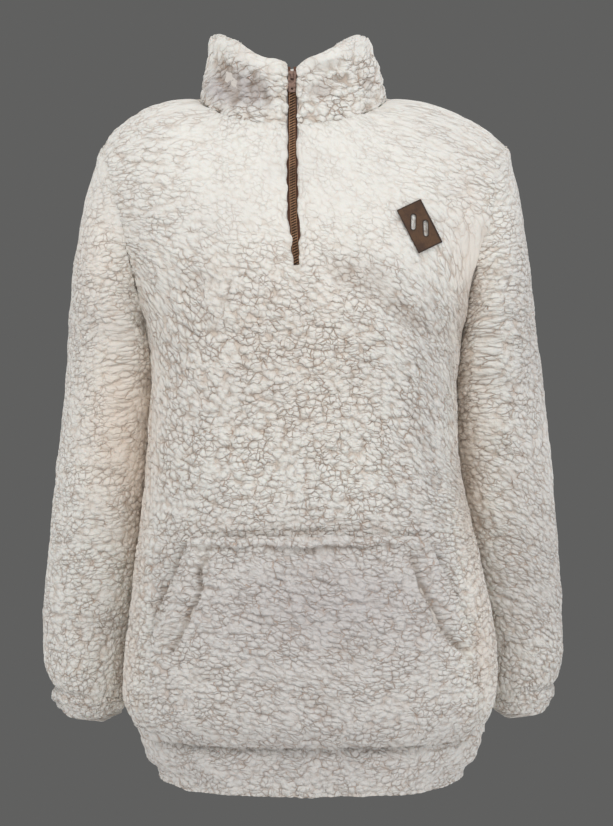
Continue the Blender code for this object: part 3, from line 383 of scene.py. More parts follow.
def curled_pile(wires, nap):
    """Height of the curls, 0 in a gap and 1 on a tip, and the gaps, which the fleece paints with shade, for a
    place on the nap.
    """

    def pushed(vector, size, amount):
        away = wires.vector("SUBTRACT", wires.noise(nap, size, 1.0, 0.5, output=1), (0.5, 0.5, 0.5))
        return wires.vector("ADD", vector, wires.scaled(away, amount))

    def dome(vector, width):
        away = wires.math("MULTIPLY", wires.cells(vector, 1.0, 1.0, "F1"), width, clamp=True)
        return wires.math("SUBTRACT", 1.0, wires.math("MULTIPLY", away, away))

    place = pushed(pushed(nap, 0.33, 1.0), 1.3, 0.46)
    frayed = pushed(place, 2.9, 0.13)
    pebble = wires.vector("MULTIPLY", frayed, (0.88, 1.12, 0.0))
    fine = wires.vector("MULTIPLY", place, (2.1, 2.7, 0.0))
    row = wires.vector("MULTIPLY", frayed, (0.42, 0.84, 0.0))
    tuft, lump, knot = dome(row, 1.15), dome(pebble, 1.2), dome(fine, 1.3)
    height = wires.math("MULTIPLY_ADD", tuft, 0.30, wires.math("MULTIPLY", knot, 0.12))
    height = wires.math("MULTIPLY_ADD", lump, 0.58, height)
    patchy = wires.noise(nap, 0.2, 2.0, 0.6)
    broken = wires.ramp(wires.noise(nap, 0.6, 1.0), 0.34, 0.56)
    # The gaps are painted with shade by the fleece and sunk a little by the relief: long cracks along the
    # rows, short ones round each lump, and pits where lumps meet.
    long_gap = wires.ramp(wires.cells(row, 1.0), 0.0, 0.062, 1.0, 0.0)
    long_gap = wires.math("MULTIPLY", long_gap, wires.math("MULTIPLY", broken, wires.ramp(patchy, 0.28, 0.5)))
    short_gap = wires.ramp(wires.cells(pebble, 1.0), 0.0, 0.072, 1.0, 0.0)
    short_gap = wires.math("MULTIPLY", short_gap, wires.ramp(patchy, 0.42, 0.66, 0.05, 0.70))
    pits = wires.ramp(lump, 0.06, 0.30, 0.16, 0.0)
    return height, wires.math("MAXIMUM", wires.math("MAXIMUM", long_gap, short_gap), pits)


def shared_group(name, kind, inputs, outputs, fill):
    """A node group, made once: its sockets are pairs of a name and a type, and fill wires them."""
    if name in bpy.data.node_groups:
        return bpy.data.node_groups[name]
    group = bpy.data.node_groups.new(name, kind)
    for way, sockets in (("INPUT", inputs), ("OUTPUT", outputs)):
        for socket, form in sockets:
            group.interface.new_socket(socket, in_out=way, socket_type=f"NodeSocket{form}")
    wires = Wires(group)
    start, end = wires.add("NodeGroupInput"), wires.add("NodeGroupOutput")
    for value, socket in zip(fill(wires, start.outputs), outputs):
        wires.join(value, end.inputs[socket[0]])
    return group


def pile_group():
    """The curls as a shader group, so that each cloth material places them with its own values."""

    def fill(wires, given):
        return curled_pile(wires, given["Nap"])

    made = (("Height", "Float"), ("Gap", "Float"))
    return shared_group("Curled pile", "ShaderNodeTree", (("Nap", "Vector"),), made, fill)


def relief_group():
    """The same curls as a geometry group, which sinks the gaps into the cloth."""

    def fill(wires, given):
        nap = wires.add("GeometryNodeInputNamedAttribute", {"Name": "nap"}, data_type="FLOAT_VECTOR")
        curl = wires.add("GeometryNodeInputNamedAttribute", {"Name": "curl"}, data_type="FLOAT")
        height, gap = curled_pile(wires, nap.outputs["Attribute"])
        low = wires.math("SUBTRACT", height, wires.math("MULTIPLY", gap, 0.2))
        low = wires.math("SUBTRACT", low, 0.85)
        low = wires.math("MULTIPLY", wires.math("MULTIPLY", low, curl.outputs["Attribute"]), given["Depth"])
        offset = wires.scaled(wires.add("GeometryNodeInputNormal").outputs[0], low)
        moved = wires.add("GeometryNodeSetPosition", {"Geometry": given["Geometry"], "Offset": offset})
        return (moved.outputs[0],)

    cloth = ("Geometry", "Geometry")
    return shared_group("Sink the gaps", "GeometryNodeTree", (cloth, ("Depth", "Float")), (cloth,), fill)


# ------------------------------------------------------------------ materials


def new_material(name):
    """A material with an output and a Principled shader, the means to wire them, and places on it."""
    material = bpy.data.materials.new(name)
    material.use_nodes = True
    material.node_tree.nodes.clear()
    wires = Wires(material.node_tree)
    shader = wires.add("ShaderNodeBsdfPrincipled")
    output = wires.add("ShaderNodeOutputMaterial")
    wires.join(shader.outputs[0], output.inputs["Surface"])
    return material, wires, shader, wires.add("ShaderNodeTexCoord").outputs["Object"]


def toned(tint, *factors):
    """A colour made lighter or darker as a whole, or by one factor for each of its channels."""
    return tuple(min(1.0, part * factor) for part, factor in zip(tint, factors * 3))


def finish_shader(wires, shader, **values):
    for name, value in values.items():
        wires.join(value, shader.inputs[name.replace("_", " ").title().replace("Ior", "IOR")])


def attribute(wires, name, output="Fac"):
    return wires.add("ShaderNodeAttribute", attribute_name=name).outputs[output]


def fleece_material(settings):
    """Cream curls with painted shade on their low sides, in their gaps and in folds, painted warm bounce
    light and cool shade with a faint warm tone and random cool mottle, and fine fibres.
    """
    material, wires, shader, place = new_material("curly fleece")
    nap, curl = attribute(wires, "nap", "Vector"), attribute(wires, "curl")
    # Painted warm bounce light and cool shade, and painted shade in folds and beside seams, read per vertex.
    wash, hollow = attribute(wires, "wash"), attribute(wires, "hollow")
    pile = wires.add("ShaderNodeGroup", node_tree=pile_group())
    wires.join(nap, pile.inputs["Nap"])
    height, gap = pile.outputs["Height"], pile.outputs["Gap"]
    fibres = wires.noise(place, 620.0, 3.0, 0.62, "3D")
    tufts = wires.noise(place, 230.0, 2.0, 0.5, "3D")
    clouds = wires.noise(place, 16.0, 2.0, 0.5, "3D")
    # Painted shade on each curl's low sides and lighter painted tips, by the curl's height.
    lit = wires.ramp(wires.math("ADD", height, wires.math("MULTIPLY_ADD", tufts, 0.6, -0.3)), 0.24, 0.92)
    cloth = wires.mixed(lit, settings.shade, settings.cream)
    flat = wires.mixed(wires.math("MULTIPLY_ADD", curl, 0.9, 0.1), settings.cream, cloth)
    # Painted warm bounce light and warm shade, and a faint warm tone.
    warm_bounce_and_tone = wires.math("MULTIPLY", wires.math("MAXIMUM", wash, 0.0), 0.55)
    cool_shade_and_mottle = wires.math("MAXIMUM", wires.math("MULTIPLY", wash, -1.0), 0.0)
    flat = wires.mixed(warm_bounce_and_tone, flat, settings.warm_bounce_and_tone)
    # Painted cool shade, then random cool mottle.
    flat = wires.mixed(wires.math("MULTIPLY", cool_shade_and_mottle, 0.85), flat, settings.cool_shade_and_mottle)
    flat = wires.mixed(wires.ramp(clouds, 0.35, 0.75, 0.0, 0.14), flat, settings.cool_shade_and_mottle)
    depth = wires.math("MULTIPLY", gap, wires.math("MULTIPLY_ADD", curl, 0.75, 0.06), clamp=True)
    # Painted shade low in folds, beside seams and where the body shades the sleeves, less on the curls' tips.
    low = wires.math("MULTIPLY", hollow, wires.math("MULTIPLY_ADD", height, -0.8, 1.1), clamp=True)
    fold_shaded = wires.mixed(low, flat, settings.fold)
    # Painted shade in the gaps between curls, strongest where the curls stand up.
    base = wires.mixed(wires.math("MULTIPLY", depth, 0.85), fold_shaded, settings.gap)
    rise = wires.math("SUBTRACT", height, wires.math("MULTIPLY", gap, 0.32))
    normal = wires.bump(wires.math("MULTIPLY", rise, curl), 0.0046, 0.88)
    normal = wires.bump(tufts, 0.0016, 0.6, normal)
    normal = wires.bump(fibres, 0.0005, 0.5, normal)
    finish_shader(
        wires, shader, base_color=base, normal=normal, roughness=0.94, sheen_weight=0.22,
        sheen_roughness=0.45, specular_ior_level=0.12, subsurface_weight=0.12, subsurface_scale=0.004,
    )
    shader.inputs["Subsurface Radius"].default_value = (1.0, 0.75, 0.6)
    return material


def knit_material(settings):
    """The plain inside of the cloth: fine ribs of a knitted backing."""
    material, wires, shader, place = new_material("knitted backing")
    part = wires.add("ShaderNodeSeparateXYZ", {"Vector": place})
    stitch = wires.math("SINE", wires.math("MULTIPLY", part.outputs["Z"], 3800.0))
    wale = wires.noise(place, 900.0, 2.0, 0.6, "3D")
    clouds = wires.noise(place, 30.0, 2.0, 0.5, "3D")
    shade = wires.math("MULTIPLY_ADD", stitch, 0.12, wires.math("MULTIPLY", wale, 0.5), clamp=True)
    shade = wires.math("ADD", shade, wires.math("MULTIPLY", clouds, 0.2))
    base = wires.mixed(shade, settings.knit, settings.shade)
    normal = wires.bump(wires.math("ADD", wires.math("MULTIPLY", stitch, 0.5), wale), 0.0005, 0.6)
    finish_shader(
        wires, shader, base_color=base, normal=normal, roughness=0.92, sheen_weight=0.15,
        specular_ior_level=0.15,
    )
    return material


def tape_material(settings):
    """Woven polyester tape with fine slanted ribs."""
    material, wires, shader, place = new_material("woven zip tape")
    part = wires.add("ShaderNodeSeparateXYZ", {"Vector": place})
    slant = wires.math("ADD", part.outputs["X"], wires.math("MULTIPLY", part.outputs["Z"], 0.8))
    ribs = wires.math("SINE", wires.math("MULTIPLY", slant, 7200.0))
    grain = wires.noise(place, 1500.0, 2.0, 0.6, "3D")
    worn = wires.math("MULTIPLY_ADD", ribs, 0.2, wires.math("MULTIPLY", grain, 0.7), clamp=True)
    base = wires.mixed(worn, settings.tape, toned(settings.tape, 2.1))
    normal = wires.bump(wires.math("ADD", ribs, grain), 0.0002, 0.7)
    finish_shader(wires, shader, base_color=base, normal=normal, roughness=0.82, sheen_weight=0.2)
    return material


def coil_material(settings):
    """Nylon wire, a little polished where the slider has rubbed it, with painted shade on its deeper parts.
    """
    material, wires, shader, place = new_material("nylon coil")
    grain = wires.noise(place, 700.0, 2.0, 0.6, "3D")
    patch = wires.noise(place, 55.0, 2.0, 0.5, "3D")
    base = wires.mixed(wires.ramp(patch, 0.35, 0.65), settings.coil, toned(settings.coil, 1.7))
    # Painted shade: the coil's deeper parts and the sheet behind it are coloured much darker.
    base = wires.mixed(attribute(wires, "deep"), base, toned(settings.coil, 0.22))
    rough = wires.math("MULTIPLY_ADD", grain, 0.3, 0.28)
    finish_shader(
        wires, shader, base_color=base, roughness=rough, normal=wires.bump(grain, 0.0001, 0.3),
        specular_ior_level=0.4,
    )
    return material


def metal_material(settings):
    """Antique plated metal: dark in its grain and brighter where fingers rub it."""
    material, wires, shader, place = new_material("antique metal")
    grain = wires.noise(place, 900.0, 3.0, 0.6, "3D")
    worn = wires.noise(place, 260.0, 2.0, 0.5, "3D")
    base = wires.mixed(wires.ramp(worn, 0.35, 0.62), toned(settings.metal, 0.55), settings.metal)
    rough = wires.math("MULTIPLY_ADD", grain, 0.3, 0.26)
    normal = wires.bump(grain, 0.00015, 0.35)
    finish_shader(wires, shader, base_color=base, metallic=0.85, roughness=rough, normal=normal)
    return material


def leather_material(settings):
    """Waxed brown leather with pebbled grain, mottled colour and dark burnished edges."""
    material, wires, shader, place = new_material("waxed leather")
    edge = attribute(wires, "edge")
    pebble = wires.cells(place, 1150.0, 0.9, dimensions="3D")
    mottle = wires.noise(place, 70.0, 3.0, 0.6, "3D")
    streak = wires.noise(place, 420.0, 3.0, 0.65, "3D")
    light = toned(settings.leather, 1.9, 2.1, 2.0)
    base = wires.mixed(wires.ramp(mottle, 0.3, 0.7), settings.leather, light)
    dark = wires.math("MULTIPLY", wires.ramp(streak, 0.45, 0.7), 0.3)
    base = wires.mixed(dark, base, settings.leather_edge)
    base = wires.mixed(edge, base, settings.leather_edge)
    grain = wires.math("ADD", wires.ramp(pebble, 0.0, 0.25), wires.math("MULTIPLY", streak, 0.4))
    rough = wires.math("MULTIPLY_ADD", mottle, 0.25, 0.42)
    finish_shader(
        wires, shader, base_color=base, roughness=rough, normal=wires.bump(grain, 0.0002, 0.5),
        specular_ior_level=0.4,
    )
    return material


def floor_material():
    """Plain pale paper."""
    material, wires, shader, place = new_material("pale floor")
    speck = wires.noise(place, 60.0, 3.0, 0.6, "3D")
    base = wires.mixed(speck, (0.70, 0.70, 0.69), (0.74, 0.74, 0.73))
    finish_shader(wires, shader, base_color=base, roughness=0.9, normal=wires.bump(speck, 0.0005, 0.1))
    return material


MAKERS = {
    "fleece": (fleece_material, "pullover_fleece"),
    "knit": (knit_material, "pullover_fleece"),
    "tape": (tape_material, "pullover_trim"),
    "coil": (coil_material, "pullover_trim"),
    "metal": (metal_material, "pullover_trim"),
    "leather": (leather_material, "pullover_trim"),
}
made_materials = {}


def material_of(key):
    """One of the garment's materials, made the first time that a piece asks for it."""
    if key not in made_materials:
        maker, group = MAKERS[key]
        made_materials[key] = maker(getattr(bpy.context.scene, group))
    return made_materials[key]


# ------------------------------------------------------------------ making a piece


def add_object(name, data):
    made = bpy.data.objects.new(name, data)
    bpy.context.scene.collection.objects.link(made)
    return made


def add_piece(name, data, keys, body="pullover", replaces=()):
    """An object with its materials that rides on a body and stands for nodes."""
    made = add_object(name, data)
    data.materials.clear()
    for key in keys:
        data.materials.append(material_of(key))
    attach(made, body)
    if replaces:
        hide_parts(*replaces)
    return made


def mesh_of(name, bm):
    data = bpy.data.meshes.new(name)
    bm.to_mesh(data)
    bm.free()
    return data


def baked(name, data, *steps):
    """The mesh with modifiers applied; a step is a modifier's kind and its settings."""
    helper = add_object(name, data)
    for kind, settings in steps:
        step = helper.modifiers.new(kind.lower(), kind)
        for key, value in settings.items():
            if kind == "NODES" and key != "node_group":
                step[key] = value
            else:
                setattr(step, key, value)
    bpy.context.view_layer.update()
    graph = bpy.context.evaluated_depsgraph_get()
    result = bpy.data.meshes.new_from_object(helper.evaluated_get(graph), depsgraph=graph)
    result.name = name
    bpy.data.objects.remove(helper)
    bpy.data.meshes.remove(data)
    return result


def welded(node):
    """A node's solid with its corners welded and its triangles paired into quads."""
    bm = bmesh.new()
    bm.from_mesh(NODES[node].data)
    bmesh.ops.remove_doubles(bm, verts=bm.verts, dist=0.01 * MM)
    for edge in bm.edges:
        edge.smooth = edge.calc_face_angle(0) < SHARP
    bmesh.ops.join_triangles(
        bm, faces=bm.faces, cmp_sharp=True, angle_face_threshold=SHARP, angle_shape_threshold=pi
    )
    return bm


def regions_of(bm):
    """The faces in groups that sharp edges part, the largest first."""
    left, regions = set(bm.faces), []
    while left:
        queue = [left.pop()]
        region = list(queue)
        while queue:
            for edge in queue.pop().edges:
                for face in edge.link_faces if edge.smooth else ():
                    if face in left:
                        left.discard(face)
                        region.append(face)
                        queue.append(face)
        regions.append(region)
    return sorted(regions, key=lambda region: -sum(face.calc_area() for face in region))


def faces_away(region):
    """How much a region's faces look away from its middle: more for the outside of a shell."""
    area = sum(face.calc_area() for face in region)
    middle = sum((face.calc_center_median() * face.calc_area() for face in region), Vector()) / area
    return sum(
        (face.calc_center_median() - middle).dot(face.normal) * face.calc_area() for face in region
    )


def mark_sides(bm):
    """Tells the outside, the inside and the cut edges of the cloth apart by material index."""
    first, second, *rest = regions_of(bm)
    if faces_away(first) < faces_away(second):
        first, second = second, first
    for side, regions in ((OUTER, [first]), (INNER, [second]), (RIM, rest)):
        for region in regions:
            for face in region:
                face.material_index = side
    walls = BVHTree.FromBMesh(bm)
    for face in first + second:
        under = face.calc_center_median() - face.normal * 0.2 * MM
        through = walls.ray_cast(under, -face.normal)[3]
        if through is None or through > THICKEST:
            face.material_index = RIM
    crease = bm.edges.layers.float.new("crease_edge")
    for edge in bm.edges:
        edge.smooth = edge.smooth and len({face.material_index for face in edge.link_faces}) < 2
        edge[crease] = 0.0 if edge.smooth else 1.0


def edge_families(bm):
    """The outside's edges as those that run up the cloth and those that run round it."""
    edges = [edge for edge in bm.edges if any(f.material_index != INNER for f in edge.link_faces)]
    parent = {edge: edge for edge in edges}

    def root(edge):
        while parent[edge] is not edge:
            parent[edge] = parent[parent[edge]]
            edge = parent[edge]
        return edge

    for face in bm.faces:
        if face.material_index != INNER and len(face.edges) == 4:
            a, b, c, d = face.edges
            parent[root(a)] = root(c)
            parent[root(b)] = root(d)
    families = {}
    for edge in edges:
        families.setdefault(root(edge), []).append(edge)
    upright, around = [], []
    for family in families.values():
        size = sum(edge.calc_length() for edge in family)
        if size < len(family) * 2.0 * MM:
            continue
        rise = sum(abs(edge.verts[0].co.z - edge.verts[1].co.z) for edge in family)
        (upright if rise > 0.6 * size else around).extend(family)
    return upright, around


def refined(bm, cuts):
    """Cuts the outside finer, up the cloth and then round it, and leaves the inside coarse."""
    upright, around = edge_families(bm)
    if cuts[0]:
        cut = bmesh.ops.subdivide_edges(bm, edges=upright, cuts=cuts[0], use_grid_fill=True)
        around += [part for part in cut["geom_inner"] if isinstance(part, bmesh.types.BMEdge)]
    if cuts[1]:
        bmesh.ops.subdivide_edges(bm, edges=around, cuts=cuts[1], use_grid_fill=True)


def relaxed(bm, vertices, times):
    for _ in range(times):
        bmesh.ops.smooth_vert(
            bm, verts=vertices, factor=0.5, use_axis_x=True, use_axis_y=True, use_axis_z=True
        )


def read_points(items, key="co"):
    points = np.empty(len(items) * 3, np.float32)
    items.foreach_get(key, points)
    return points.reshape(-1, 3).astype(np.float64)


def write_attribute(data, name, kind, values):
    layer = data.attributes.new(name, kind, "POINT")
    key = "vector" if kind == "FLOAT_VECTOR" else "value"
    layer.data.foreach_set(key, np.ascontiguousarray(values, np.float32).ravel())


# ------------------------------------------------------------------ fields over the cloth


def soft_step(low, high, value):
    share = np.clip((value - low) / (high - low), 0, 1)
    return share * share * (3 - 2 * share)


def patch_sum(patches, x, z):
    """The sum of soft round patches at places across and up, in millimetres."""
    total = np.zeros_like(x)
    for patch in patches:
        away = ((x - patch.x) / patch.across) ** 2 + ((z - patch.z) / patch.up) ** 2
        total += patch.change * np.exp(-away)
    return total


def crease_sum(creases, x, z):
    """How far the creases press the cloth in, at places across and up, in millimetres."""
    total = np.zeros_like(x)
    for k, crease in enumerate(creases):
        run = np.array((crease.x1 - crease.x0, crease.z1 - crease.z0), float)
        size = hypot(*run)
        along = ((x - crease.x0) * run[0] + (z - crease.z0) * run[1]) / size**2
        share = np.clip(along, 0, 1)
        bow = crease.bow * 4 * share * (1 - share)
        wave = 1.6 * np.sin(share * 9 + k) * (size > 40)
        off_x = x - (crease.x0 + run[0] * share - run[1] / size * (bow + wave))
        off_z = z - (crease.z0 + run[1] * share + run[0] / size * (bow + wave))
        away = np.hypot(off_x, off_z) / crease.width
        depth = crease.depth * (0.55 + 0.45 * np.sin(pi * np.clip(share, 0.02, 0.98)))
        total += depth * (np.exp(-(away**2)) - 0.3 * np.exp(-((away - 1.7) ** 2) * 1.6))
    return total


def ring_length(across, depth, width, reach):
    """Length round an ellipse from its front, for places across and in depth from its middle."""
    turn = np.arctan2(across / width, depth / reach)
    table = np.linspace(-pi, pi, 721)
    step = np.hypot(width * np.cos(table), reach * np.sin(table)) * (table[1] - table[0])
    total = np.cumsum(step)
    return np.interp(turn, table, total - total[360])


def middle_by_height(points):
    """Middle of a tube at each point's height, from the reach of its ring there."""
    z = points[:, 2]
    levels = np.linspace(z.min(), z.max(), 24)
    middles = []
    for level in levels:
        ring = points[np.abs(z - level) < (levels[1] - levels[0])]
        middles.append((ring[:, :2].min(0) + ring[:, :2].max(0)) / 2)
    middles = np.array(middles)
    return np.interp(z, levels, middles[:, 0]), np.interp(z, levels, middles[:, 1])


def as_seen(points, facing):
    """Places across and up as seen from the eye, or for facing 1 from its twin behind."""
    x, y, z = points.T
    nearer = -EYE[1] / (-EYE[1] - y * facing)
    return EYE[0] + (x - EYE[0]) * nearer, EYE[2] + (z - EYE[2]) * nearer


def eased(value, start, reach):
    """Nought below a start, then rising to a slope of one over a reach."""
    over = np.clip(value - start, 0, None)
    return np.where(over < reach, over**2 / (2 * reach), over - reach / 2)


def nap_of(cloth, points):
    """Places on the cloth's surface, round and up, in curls, from points in millimetres."""
    x, y, z = points.T
    up = z.copy()
    if cloth.ring is None:
        middle_x, middle_y = middle_by_height(points)
        side = 1 if cloth.node.endswith("left") else -1
        around = -side * ring_length(-(y - middle_y), side * (x - middle_x), SLEEVE_RADIUS, SLEEVE_RADIUS)
        lean = (25 if side > 0 else 6) * np.sin(around / SLEEVE_RADIUS + side * pi / 2)
        up = up + lean * soft_step(-680, -480, z) * soft_step(-250, -420, z)
        up = up + 5 * np.sin(around / 30) + 4 * np.sin(z / 37)
    else:
        middle_x, middle_y, width, reach = cloth.ring
        facing = 1 if cloth.node in ("back", "collar") else -1
        around = ring_length(x - middle_x, facing * (y - middle_y), width, reach)
    if cloth.node == "front":
        up = up + 0.3 * soft_step(-190, -60, z) * np.clip(np.abs(y + 95), 0, 95)
        drift = soft_step(-470, -340, z) * soft_step(-110, -210, z)
        up = up + 0.75 * eased(around, 40, 80) * drift + 0.25 * around * soft_step(-330, -120, z)
        up = up - 0.4 * eased(-around, 70, 60) * soft_step(-440, -280, z) * soft_step(-110, -200, z)
    if cloth.node == "pocket":
        up = up + 6 * np.sin(around / 41) + 0.12 * around
    if cloth.node == "collar":
        up = up + 7 * np.sin(around / 23) + 0.15 * around
    if cloth.node == "hem_band":
        up = up + 3 * np.sin(around / 33)
    size = bpy.context.scene.pullover_fleece.curl_size
    return around / (cloth.curl[0] * size), up / (cloth.curl[1] * size)


def write_nap(data, around, up):
    """Writes the nap for each corner of a face, so that its join round a tube is one clean edge."""
    corners = np.empty(len(data.loops), np.int32)
    starts = np.empty(len(data.polygons), np.int32)
    data.loops.foreach_get("vertex_index", corners)
    data.polygons.foreach_get("loop_start", starts)
    turn = around.max() - around.min()
    across, rise = around[corners], up[corners]
    most = np.maximum.reduceat(across, starts)
    most = np.repeat(most, np.diff(np.append(starts, len(corners))))
    across = np.where(most - across > turn / 2, across + turn, across)
    layer = data.attributes.new("nap", "FLOAT_VECTOR", "CORNER")
    places = np.stack([across, rise, np.zeros_like(rise)], 1)
    layer.data.foreach_set("vector", np.ascontiguousarray(places, np.float32).ravel())


def curl_of(cloth, x, z):
    """How far the curls stand up at each place, as a share of the piece's own depth."""
    flat = {"pocket": -0.08, "sleeve_right": -0.14, "hem_band": -0.15}
    patches = {
        "front": FRONT_PATCHY, "pocket": FRONT_PATCHY, "back": BACK_PATCHY,
        "sleeve_left": SLEEVE_PATCHY, "sleeve_right": SLEEVE_PATCHY, "collar": COLLAR_PATCHY,
    }.get(cloth.node, ())
    return np.clip(1 + flat.get(cloth.node, 0) + patch_sum(patches, x, z), 0.25, 1.15)


def pressed(cloth, points, normals):
    """How far creases, stitches and seams press the outside in, in millimetres."""
    front, back = soft_step(0.0, 0.45, -normals[:, 1]), soft_step(0.0, 0.45, normals[:, 1])
    ahead, behind = as_seen(points, -1), as_seen(points, 1)
    node = cloth.node
    if node == "front":
        return crease_sum(FRONT_CREASES + OPENING_LINES, *ahead)
    if node == "back":
        return crease_sum(BACK_CREASES, *behind)
    if node == "hem_band":
        return crease_sum(FRONT_CREASES[-3:], *ahead) * front
    if node == "pocket":
        return crease_sum(POCKET_LINES, *ahead) * front
    if node == "collar":
        mirrored = crease_sum(COLLAR_CREASES, -behind[0], behind[1])
        return crease_sum(COLLAR_CREASES, *ahead) * front + 0.8 * mirrored * back
    if node.startswith("sleeve"):
        folds = SLEEVE_CREASES[1 if node.endswith("left") else -1]
        others = [fold._replace(z0=fold.z1 + 11, z1=fold.z0 + 11) for fold in folds]
        return crease_sum(folds, *ahead) * front + 0.8 * crease_sum(others, *behind) * back
    return np.zeros(len(points))


def waves(value, *terms):
    """A sum of sines, each given by its size, its length and its start."""
    return sum(size * np.sin(value / reach + start) for size, reach, start in terms)


def lifted(name, points, away):
    """How far the pile stands up beside a seam, in millimetres, with a valley behind it."""
    x, _, z = points.T
    valley = 0.9 * np.exp(-(((away - 8) / 4) ** 2))
    if name in ("hem_band", "pocket", "cuff_left", "cuff_right"):
        return valley
    flush = 0.5 * np.exp(-((away / 7) ** 2)) * (1 - at_tip(x, z))
    low = soft_step(-565, -580, z) if name.startswith("sleeve") else soft_step(-600, -620, z)
    return flush * (1 - low) + valley


def lumps(points):
    """Low uneven swells all over the cloth, in millimetres."""
    x, y, z = points.T
    ring = np.arctan2(x - 13, -y) * 150
    slant = waves(ring + 0.8 * z, (0.20, 5.3, 0), (0.25, 8.9, 2))
    slant += waves(ring - 0.6 * z, (0.20, 6.1, 1), (0.25, 11.3, 0))
    return slant + waves(z + 9 * np.sin(ring / 23), (0.2, 4.7, 0), (0.2, 7.7, 1))


def seam_distance(data, rim, outside):
    """How far each vertex is from the nearest cut edge of the cloth, in millimetres."""
    points = read_points(data.vertices) / MM
    tree = KDTree(int(rim.sum()))
    for k in np.flatnonzero(rim):
        tree.insert(points[k], k)
    tree.balance()
    away = np.full(len(points), NO_SEAM)
    for k in np.flatnonzero(outside):
        away[k] = tree.find(points[k])[2]
    return away


def ruffled(points, normals, near):
    """Seams wander, so every piece's outside slides the same way beside the same seam."""
    x, y, z = points.T
    ring = x + 0.7 * y
    low = soft_step(-590, -640, z)
    aside = waves(z, (0.9, 4.1, 0.4), (0.9, 7.9, 2.0))
    rise = waves(ring, (0.9, 4.9, 1.0), (1.1, 9.7, 0.5)) * (1 + 0.9 * low)
    aside_of_middle = np.abs(x - HEM_MIDDLE)
    lift = 9 * soft_step(110, 175, aside_of_middle) * np.exp(-(((z + 634) / 15) ** 2))
    slide = np.stack([aside, np.zeros_like(x), rise], 1)
    slide[:, 2] += lift * (aside_of_middle < 215) * (np.abs(y) < 125)
    slide -= normals * (slide * normals).sum(1)[:, None]
    return points + slide * near[:, None]


def tufted(points):
    """The fleece on both sides of the zip leans over its tapes in uneven tufts."""
    x, y, z = points.T
    middle = np.interp(z, *np.array(ZIP_MIDDLE).T)
    off = x - middle
    side, far = np.sign(off), np.abs(off)
    near = soft_step(13, 5, far) * (y < -40) * soft_step(-192, -182, z)
    tufts = -1.9 + waves(z, (0.4, 2.3, 0), (0.5, 5.1, 1), (0.3, 11, 0)) * (side > 0)
    tufts += waves(z, (0.45, 2.7, 2), (0.4, 6.3, 0), (0.4, 13, 1)) * (side < 0)
    lean = near * (np.clip(tufts, -2.9, 0.2) + 2.0 * soft_step(-132, -174, z))
    moved = points.copy()
    moved[:, 0] = middle + side * np.maximum(far - lean, np.minimum(far, 1.2))
    moved[:, 1] -= near * 0.8
    return moved


def neighbours_of(node):
    """The solids that a piece may be sewn to, each ready to be asked for its nearest point."""
    trees = []
    for name, cloth in CLOTHS.items():
        if name != node:
            bm = bmesh.new()
            bm.from_mesh(NODES[cloth.node].data)
            trees.append(BVHTree.FromBMesh(bm))
            bm.free()
    return trees


def across_seam(vertex):
    """The way out of a vertex's cut edge, towards the piece that it is sewn to."""
    normals = (face.normal for face in vertex.link_faces if face.material_index == RIM)
    return sum(normals, Vector()).normalized()


def at_tip(x, z):
    """1 at the tips of the shoulders, where three seams meet, and 0 away from them."""
    return sum(np.exp(-(((x - tip[0]) / 11) ** 2) - ((z - tip[1]) / 11) ** 2) for tip in SHOULDER_TIPS)


def pushed_over(name, place):
    """How much of the edge swell a piece has at a place: the back lies over the sleeves."""
    return 1.5 if name == "back" else 1 - at_tip(place.x, place.z)


def settled(cloth, points, normals, away):
    """Where a piece's outside lies once its seams wander and its neighbours push on it."""
    x, _, z = points.T
    stiff = {"hem_band": soft_step(-668, -655, z), "collar": soft_step(34, 16, z)}
    near = soft_step(22, 6, away) * stiff.get(cloth.node, 1.0)
    if cloth.node.startswith("cuff"):
        near = near * soft_step(-622, -612, z)
    moved = ruffled(points, normals, near)
    if cloth.node in ("front", "collar"):
        moved = tufted(moved)
    tip = at_tip(x, z)[:, None]
    moved = moved + normals * tip * (1.5 if cloth.node.startswith("sleeve") else -2.2)
    if cloth.node.startswith("sleeve"):
        side = 1 if cloth.node.endswith("left") else -1
        facing = soft_step(-0.1, 0.6, -side * normals[:, 0])
        moved[:, 0] -= side * facing * np.interp(z, *np.array(SNUG).T)
    if cloth.node == "hem_band":
        side = x - HEM_MIDDLE
        inward = soft_step(70, 130, np.abs(side)) * np.exp(-(((z + 671) / 11) ** 2))
        moved[:, 0] -= np.sign(side) * 6 * inward
    return moved


def rounded_off(name, points):
    """The band and the cuffs turn up a little at their sides, through the whole wall."""
    x, _, z = points.T
    turned = points.copy()
    if name == "hem_band":
        side = x - HEM_MIDDLE
        turned[:, 2] += 5 * soft_step(116, 160, np.abs(side)) * soft_step(-656, -676, z)
        turned[:, 0] -= 4 * np.sign(side) * soft_step(80, 150, np.abs(side)) * soft_step(-638, -650, z)
    if name.startswith("cuff"):
        middle, low = (x.min() + x.max()) / 2, soft_step(-604, -619, z)
        turned[:, 2] += 3 * low + 6 * soft_step(15, 31, np.abs(x - middle)) * low
    return turned


def on_side(vertex, *sides):
    """Whether a vertex belongs to a face on any of these sides of the cloth."""
    return any(face.material_index in sides for face in vertex.link_faces)


